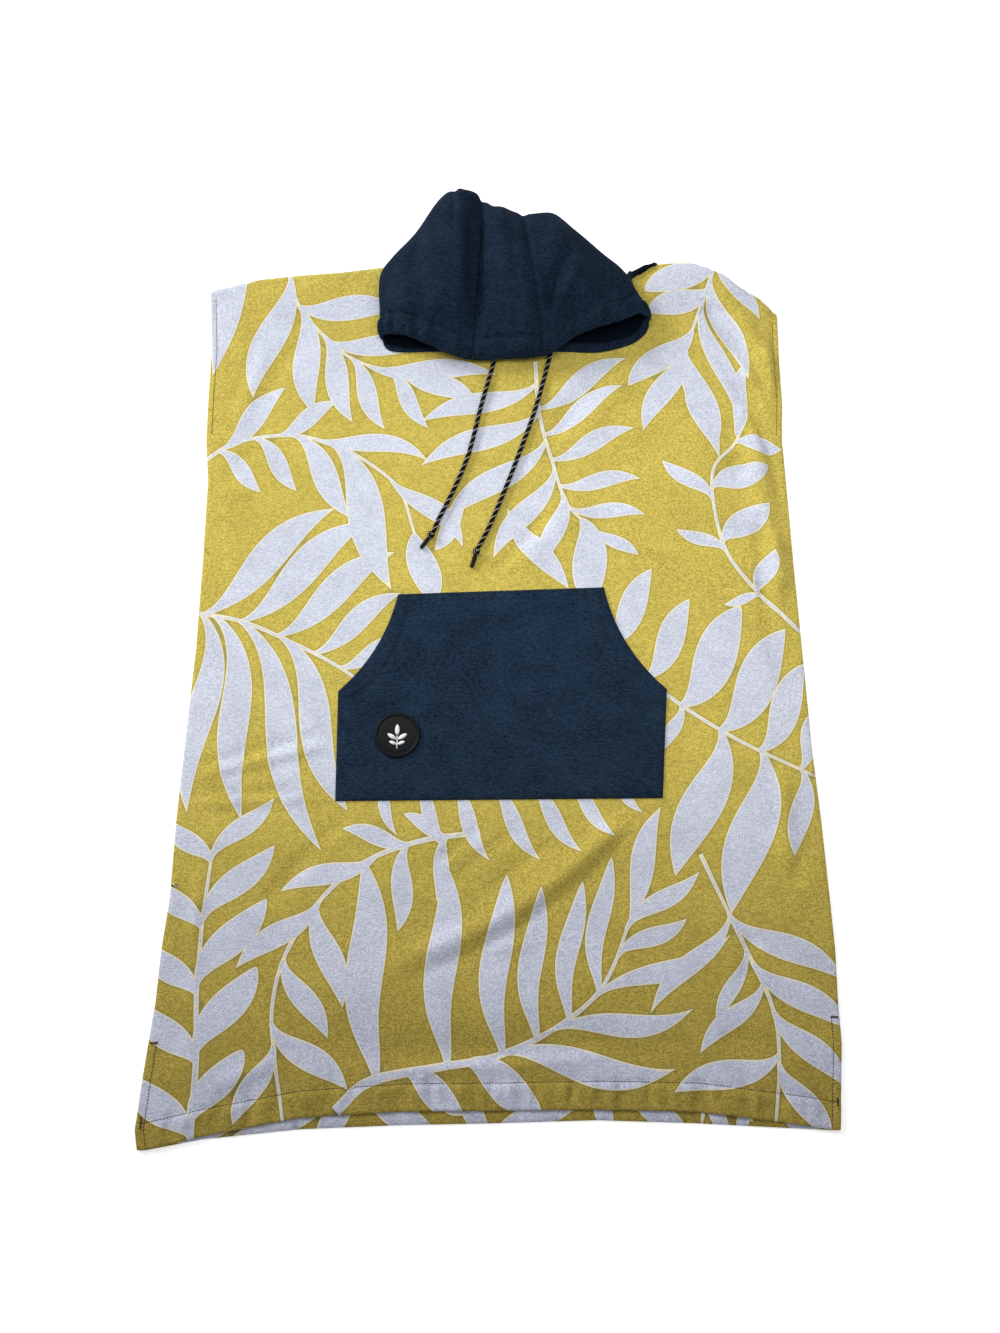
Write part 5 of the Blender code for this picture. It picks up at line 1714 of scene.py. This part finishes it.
class PONCHO_OT_front(bpy.types.Operator):
    """Cuts the printed front panel"""

    bl_idname = "poncho.front"
    bl_label = "Front panel"

    def execute(self, context):
        outline = panel_outline(FRONT)
        shapes = fronds(1, FRONT_SEED)
        low, high = outline.min(axis=0), outline.max(axis=0)
        body = staggered_grid(low, high, CLOTH_SPACING)
        hem = staggered_grid(low, (high[0], HEMS[0][1] + HEM_BAND), HEM_SPACING)
        near_hem = body[:, 1] - read(HEMS, FRONT, body[:, 0]) < HEM_DEPTH
        hem = hem[hem[:, 1] - read(HEMS, FRONT, hem[:, 0]) < HEM_DEPTH]
        lines = front_stitch_lines()
        seams = np.concatenate([self.beside(line) for line in lines])
        grid = np.concatenate((body[~near_hem], hem))
        grid = np.concatenate((grid[self.clear_of(grid, seams)], seams))
        flat, faces, depth, leafy = cut_cloth(outline, grid, shapes)
        heights = front_top(flat[:, 0], flat[:, 1])
        normals = self.normals(flat[:, 0], flat[:, 1])
        mesh = printed_panel(
            "front_cloth", flat, faces, depth, leafy, heights, normals, TOWELLING, TOWELLING + SEAM_GAP
        )
        piece = add_piece(
            "front_cloth",
            mesh,
            finish_of("printed_pile"),
            replaced=("front_panel",),
        )
        radius = context.scene.poncho_sizes.stitch_radius
        raised = [on_front(line, THREAD_STANDS * radius) for line in lines]
        stitches = sew("front_stitches", raised, "dark_thread")
        tacks = bartacks("front_bartacks", FRONT_TACKS, "dark_thread")
        end = tube("thread_end", on_front(THREAD_END, THREAD_END_CLEAR), THREAD_END_RADIUS, 6)
        loose = add_piece("thread_end", end, finish_of("white_thread"))
        return {"FINISHED"}

    def beside(self, line):
        """Points along a stitch line and close to both sides of it."""
        run = np.gradient(line, axis=0)
        across = np.column_stack((-run[:, 1], run[:, 0])) / np.linalg.norm(run, axis=1, keepdims=True)
        return np.concatenate([line + offset * across for offset in (-BESIDE_STITCH, 0.0, BESIDE_STITCH)])

    def clear_of(self, grid, seams):
        """Which grid points keep clear of the rows beside the stitches."""
        far = np.ones(len(grid), bool)
        for part in np.array_split(np.arange(len(grid)), 40):
            gaps = grid[part][:, None, :] - seams[None, :, :]
            far[part] = (np.einsum("gsc,gsc->gs", gaps, gaps) > CLEAR_OF_STITCH**2).all(axis=1)
        return far

    def normals(self, x, y):
        step = SLOPE_STEP
        slope_x = (front_top(x + step, y) - front_top(x - step, y)) / (2 * step)
        slope_y = (front_top(x, y + step) - front_top(x, y - step)) / (2 * step)
        normals = np.column_stack((-slope_x, -slope_y, np.ones(len(x))))
        return normals / np.linalg.norm(normals, axis=1, keepdims=True)


class PONCHO_OT_back(bpy.types.Operator):
    """Cuts the printed back panel, which lies flat on the surface"""

    bl_idname = "poncho.back"
    bl_label = "Back panel"

    def execute(self, context):
        outline = panel_outline(BACK)
        grid = staggered_grid(outline.min(axis=0), outline.max(axis=0), BACK_SPACING)
        shapes = fronds(-1, BACK_SEED)
        for across, heading, length, width in BACK_HEM_LEAVES:
            direction = towards(heading)
            middle = np.array((across, float(read(HEMS, BACK, across)) + BACK_LEAVES_ABOVE_HEM))
            root = middle - direction * length / 2
            shapes.append(leaf(root, direction, length, width))
        flat, faces, depth, leafy = cut_cloth(outline, grid, shapes)
        heights = np.full(len(flat), TOWELLING)
        up = np.tile((0.0, 0.0, 1.0), (len(flat), 1))
        mesh = printed_panel("back_cloth", flat, faces, depth, leafy, heights, up, TOWELLING, 0.0)
        piece = add_piece(
            "back_cloth", mesh, finish_of("printed_pile"), replaced=("back_panel",)
        )
        return {"FINISHED"}


class PONCHO_OT_hood(bpy.types.Operator):
    """Sews the three panels of the hood"""

    bl_idname = "poncho.hood"
    bl_label = "Hood"

    cuts = {
        "hood_right": (0.30, 0.30, 0.0515),
        "hood_centre": (0.10, 0.34, 0.0271),
        "hood_left": (0.30, 0.34, 0.0604),
    }

    def execute(self, context):
        stops = hood_stops()
        names = column(HOOD_ROWS, 0)
        detail = context.scene.poncho_sizes.hood_detail
        casing = context.scene.poncho_sizes.casing
        cloths, lines = [], []
        for node, seams in HOOD_SEAMS.items():
            first, last = (names.index(seam) for seam in seams)
            last += len(names) if last <= first else 0
            trim = SEAM_TRIM * SEAM_GAP / SECTION_SPACING
            around = np.linspace(first + trim, last - trim, (last - first) * detail + 1)
            near = np.array(NEAR_SEAM)
            around = np.unique(np.concatenate((around, first + near, last - near)))
            beyond_brow = np.linspace(1, stops.shape[1] - 1, REST_ROWS)[1:]
            up = np.concatenate((np.linspace(0, 1, BROW_ROWS), beyond_brow))
            outer = hood_surface(stops, around, up)
            normals = hood_normals(stops, around, up)
            relief = hood_relief(outer, around, up, casing)
            outer += relief[..., None] * normals
            outer[..., 2] = np.maximum(outer[..., 2], rest_height(outer[..., 0], outer[..., 1]))
            inner = outer - FLEECE * normals
            lines += casing_line(outer, around, casing)
            skins = (outer.transpose(1, 0, 2), inner.transpose(1, 0, 2))
            # The skins carry the hood's painted shade: an even share over the outer face, more deep inside
            # the cavity
            mesh = walled_grid(
                node + "_cloth", *skins, outside=OUTER_SHADE_SHARE, inside=painted_cavity_shade(outer, around).T
            )
            piece = add_piece(
                node + "_cloth", mesh, finish_of("navy_pile"), replaced=(node,)
            )
            cloths.append((piece, self.cuts[node]))
        stitches = sew("casing_stitches", lines, "navy_thread")
        return {"FINISHED"}


class PONCHO_OT_pocket(bpy.types.Operator):
    """Sews on the kangaroo pocket"""

    bl_idname = "poncho.pocket"
    bl_label = "Pocket"

    def execute(self, context):
        flat = pocket_grid(*POCKET_GRID)
        x, y = flat[..., 0], flat[..., 1]
        outer = np.dstack((flat, pocket_top(x, y)))
        inner = np.dstack((flat, front_top(x, y) + POCKET_CLEAR))
        mesh = walled_grid("pocket_cloth", outer, inner, (False, False))
        piece = add_piece(
            "pocket_cloth", mesh, finish_of("navy_pile"), replaced=("pocket",)
        )
        radius = context.scene.poncho_sizes.stitch_radius
        lines = [
            np.column_stack((line, pocket_top(*line.T) + THREAD_STANDS * radius))
            for line in pocket_stitch_lines()
        ]
        stitches = sew("pocket_stitches", lines, "navy_thread")
        return {"FINISHED"}


def pocket_grid(lower, upper, columns):
    """Points over the pocket, closer together at its edges."""
    sides = np.array((POCKET_SIDE_LEFT, POCKET_SIDE_RIGHT))
    bottoms = np.array((POCKET_BOTTOM_LEFT, POCKET_BOTTOM_RIGHT))
    tops = np.array((POCKET_TOP_LEFT, POCKET_TOP_RIGHT))
    pulls_in = np.array((HAND_PULL_LEFT, HAND_PULL_RIGHT))
    near = np.array(NEAR_EDGE)
    low_shares = np.unique(np.concatenate((near, np.linspace(0, 1, lower))))[:-1]
    high_shares = np.unique(np.concatenate((1 - near, np.linspace(0, 1, upper))))
    ends = [bottoms + (sides - bottoms) * share for share in low_shares]
    ends += [bend(sides, pulls_in, tops, share) for share in high_shares]
    near = near * NEAR_SIDE
    across = np.unique(np.concatenate((near, np.linspace(0, 1, columns), 1 - near)))[:, None]
    return np.array([left * (1 - across) + right * across for left, right in ends])


def pocket_outline():
    """The pocket's outline, anticlockwise from its lower left corner."""
    shares = np.linspace(0, 1, 24)
    right = [bend(POCKET_SIDE_RIGHT, HAND_PULL_RIGHT, POCKET_TOP_RIGHT, share) for share in shares]
    left = [bend(POCKET_TOP_LEFT, HAND_PULL_LEFT, POCKET_SIDE_LEFT, share) for share in shares]
    return np.array([POCKET_BOTTOM_LEFT, POCKET_BOTTOM_RIGHT, *right, *left])


def gap_to(x, y, line, closed=False):
    """How far each place lies from a line."""
    ends = np.roll(line, -1, axis=0) if closed else line[1:]
    nearest = np.full(np.shape(x), np.inf)
    for (x0, y0), (x1, y1) in zip(line, ends):
        run = (x1 - x0, y1 - y0)
        share = np.clip(((x - x0) * run[0] + (y - y0) * run[1]) / (run[0] ** 2 + run[1] ** 2), 0, 1)
        nearest = np.minimum(nearest, np.hypot(x - x0 - share * run[0], y - y0 - share * run[1]))
    return nearest


def pocket_stitch_lines():
    """The two turned hems of the hand openings, and the line that sews the pocket on."""
    edge = moved_in(resample(np.vstack((pocket_outline(), POCKET_BOTTOM_LEFT)), 400)[:-1], EDGE_STITCH)
    top = POCKET_SIDE_LEFT[1] + SEWN_CLEAR
    low = edge[edge[:, 1] < top]
    gaps = np.linalg.norm(np.diff(low, axis=0, append=low[:1]), axis=1)
    low = np.roll(low, -int(np.argmax(gaps)) - 1, axis=0)
    high = edge[(edge[:, 1] >= top) & (edge[:, 1] > POCKET_TOP_LEFT[1] - OVER_TOP_HEM)]
    across = high[:, 0]
    high = high[(across > POCKET_TOP_LEFT[0] + SEWN_CLEAR) & (across < POCKET_TOP_RIGHT[0] - SEWN_CLEAR)]
    hems = [spline(line, 60)[1:-2] for line in (POCKET_HEM_LEFT, POCKET_HEM_RIGHT)]
    return [low, high, *hems]


def pocket_top(x, y):
    """The pocket's outer face: slightly puffed, with flat sewn edges and turned hems at its hand openings."""
    from_edge = gap_to(x, y, pocket_outline(), closed=True)
    skirt = np.sqrt(1 - (1 - np.minimum(from_edge, SKIRT) / SKIRT) ** 2)
    puff = POCKET_PUFF * np.sin(math.pi / 2 * np.clip(from_edge / PUFF_REACH, 0, 1)) ** PUFF_ROUND
    height = np.zeros(np.shape(x))
    for line, side in ((POCKET_HEM_LEFT, 1), (POCKET_HEM_RIGHT, -1)):
        smooth = spline(line, 60)
        at = np.interp(y, smooth[::-1, 1], smooth[::-1, 0], left=-side)
        outside = (at - x) * side > 0
        away = gap_to(x, y, smooth)
        height += np.where(outside, TURNED_HEM * ease(away / HAND_HEM_FADE), 0) + groove(away)
    near_edge = ease((POCKET_PULL_REACH - from_edge) / POCKET_PULL_REACH)
    height += pulls(x + POCKET_PULL_LEAN * y, POCKET_PULLS) * near_edge
    sewn = (y < POCKET_SIDE_LEFT[1]) | (y > POCKET_TOP_LEFT[1] - OVER_TOP_HEM)
    height += SEWN_GROOVE * groove(from_edge - EDGE_STITCH) * sewn
    body = (FLEECE + puff) * (SKIRT_LEAST + (1 - SKIRT_LEAST) * skirt)
    return front_top(x, y) + POCKET_CLEAR + body + height * skirt


class PONCHO_OT_badge(bpy.types.Operator):
    """Moulds the round patch with its raised leaf sprig"""

    bl_idname = "poncho.badge"
    bl_label = "Patch"

    # From the middle out: share of the radius, height
    profile = (
        (0.00, 0.0029),
        (0.25, 0.0029),
        (0.50, 0.0027),
        (0.70, 0.0025),
        (0.80, 0.0023),
        (0.835, 0.0020),
        (0.865, 0.0019),
        (0.885, 0.0026),
        (0.905, 0.0031),
        (0.935, 0.0032),
        (0.965, 0.0031),
        (0.985, 0.0028),
        (1.000, 0.0022),
        (1.000, 0.0000),
    )

    def execute(self, context):
        radius = context.scene.poncho_sizes.badge_radius
        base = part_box("badge")[0][2]
        points = np.array(self.profile) * (radius, 1.0)
        work = bmesh.new()
        line = [work.verts.new((r, 0.0, z)) for r, z in points]
        line.append(work.verts.new((0.0, 0.0, 0.0)))
        edges = [work.edges.new(pair) for pair in zip(line, line[1:])]
        bmesh.ops.spin(
            work,
            geom=line + edges,
            cent=(0, 0, 0),
            axis=(0, 0, 1),
            angle=2 * math.pi,
            steps=96,
            use_merge=True,
        )
        bmesh.ops.remove_doubles(work, verts=work.verts, dist=1e-6)
        bmesh.ops.recalc_face_normals(work, faces=work.faces)
        bmesh.ops.translate(work, verts=work.verts, vec=(*BADGE_CENTRE, base))
        mesh = mesh_of(work, "patch")
        add_piece("patch", mesh, finish_of("patch_rubber"), replaced=("badge",))
        self.add_sprig(base + SPRIG_BASE)
        return {"FINISHED"}

    def add_sprig(self, base):
        """Raised white leaves on the patch: share of the radius across and up, heading, length, width."""
        radius = bpy.context.scene.poncho_sizes.badge_radius
        leaves = (
            (0.00, -0.05, 90, 0.52, 0.20),
            (-0.03, -0.20, 148, 0.46, 0.18),
            (0.03, -0.20, 32, 0.46, 0.18),
            (-0.02, -0.42, 158, 0.34, 0.14),
            (0.02, -0.42, 22, 0.34, 0.14),
        )
        work = bmesh.new()
        for across, up, heading, length, width in leaves:
            direction = towards(heading)
            root = np.array(BADGE_CENTRE) + radius * np.array((across, up))
            midline, half = leaf(root, direction, radius * length, radius * width, 0)
            self.raise_ring(work, ring_of(midline, half), base)
        stalk = np.array(BADGE_CENTRE) + radius * np.array(((0, -0.62), (0, -0.3), (0, 0.05)))
        self.raise_ring(work, ring_of(resample(stalk, 6), np.full(6, STALK_HALF_WIDTH)), base)
        bmesh.ops.recalc_face_normals(work, faces=work.faces)
        mesh = mesh_of(work, "patch_sprig")
        add_piece("patch_sprig", mesh, finish_of("patch_white"))

    def raise_ring(self, work, ring, base):
        low = [work.verts.new((x, y, base - SPRIG_SUNK)) for x, y in ring]
        high = [work.verts.new((x, y, base + SPRIG_RAISED)) for x, y in ring]
        work.faces.new(low[::-1])
        work.faces.new(high)
        for a, b, c, d in zip(low, low[1:] + low[:1], high[1:] + high[:1], high):
            work.faces.new((a, b, c, d))


class PONCHO_OT_drawcords(bpy.types.Operator):
    """Lays the two ends of the drawcord, with their knots and sealed tips"""

    bl_idname = "poncho.drawcords"
    bl_label = "Drawcords"

    def execute(self, context):
        for side, stops in CORDS.items():
            flat = spline(stops, CORD_POINTS)
            route = on_front(flat, CORD_CLEAR + CORD_RADIUS)
            cord = add_piece(
                f"cord_{side}",
                tube(f"cord_{side}", route, CORD_RADIUS, CORD_SIDES),
                finish_of("flecked_braid"),
                replaced=(f"drawcord_{side}",),
            )
            knot, tip = self.add_end(side, route)
        return {"FINISHED"}

    def add_end(self, side, route):
        along = np.array((*CORD_ENDS[side], 0.0)) - np.array((*route[-1][:2], 0.0))
        along /= np.linalg.norm(along)
        across = np.array((-along[1], along[0], 0.0))
        up = np.array((0.0, 0.0, 1.0))
        centre = route[-1] + along * (KNOT_SIZE[0] / 2 + SEAM_GAP)
        centre[2] = float(front_top(*centre[:2])) + CORD_CLEAR + KNOT_SIZE[2] / 2
        turns = np.linspace(0, 2 * math.pi, KNOT_POINTS + 1)[:-1]
        far, wide, wave, high = KNOT_LOOP
        ring = [
            centre
            + along * far * math.cos(2 * t)
            + across * (wide * math.sin(t) + wave * math.sin(3 * t))
            + up * high * math.cos(t)
            for t in turns
        ]
        ring.append(ring[0])
        knot = add_piece(
            f"overhand_{side}",
            tube(f"overhand_{side}", ring, KNOT_STRAND, KNOT_SIDES),
            finish_of("flecked_braid"),
            replaced=(f"knot_{side}",),
        )
        start = centre + along * (KNOT_SIZE[0] / 2 - TIP_HIDDEN)
        start[2] = float(front_top(*start[:2])) + CORD_CLEAR + TIP_RADIUS
        end = start + along * (TIP_LENGTH + TIP_OVER)
        end[2] = float(front_top(*end[:2])) + CORD_CLEAR + TIP_RADIUS
        shares = np.array(column(TIP_PROFILE, 0))[:, None]
        radii = TIP_RADIUS * np.array(column(TIP_PROFILE, 1))
        tip = add_piece(
            f"sealed_end_{side}",
            tube(f"sealed_end_{side}", start + (end - start) * shares, radii, CORD_SIDES),
            finish_of("dipped_end"),
            replaced=(f"tip_{side}",),
        )
        return knot, tip


class PONCHO_PT_sidebar(bpy.types.Panel):
    """Lists the poncho's pieces in the order they are made"""

    bl_label = "Hooded bath poncho"
    bl_idname = "PONCHO_PT_sidebar"
    bl_space_type = "VIEW_3D"
    bl_region_type = "UI"
    bl_category = "Poncho"

    def draw(self, context):
        for operator in PIECES:
            self.layout.operator(operator.bl_idname)
        for group in (context.scene.poncho_sizes, context.scene.poncho_colours):
            box = self.layout.box()
            for name in group.__annotations__:
                box.prop(group, name)


PIECES = (
    PONCHO_OT_stage,
    PONCHO_OT_back,
    PONCHO_OT_front,
    PONCHO_OT_hood,
    PONCHO_OT_pocket,
    PONCHO_OT_badge,
    PONCHO_OT_drawcords,
)
CLASSES = (PonchoColours, PonchoSizes, *PIECES, PONCHO_PT_sidebar)


def register():
    for made in CLASSES:
        bpy.utils.register_class(made)
    bpy.types.Scene.poncho_colours = PointerProperty(type=PonchoColours)
    bpy.types.Scene.poncho_sizes = PointerProperty(type=PonchoSizes)


def unregister():
    del bpy.types.Scene.poncho_sizes
    del bpy.types.Scene.poncho_colours
    for made in reversed(CLASSES):
        bpy.utils.unregister_class(made)


def main():
    register()
    for operator in PIECES:
        group, name = operator.bl_idname.split(".")
        getattr(getattr(bpy.ops, group), name)()


if __name__ == "__main__":
    main()
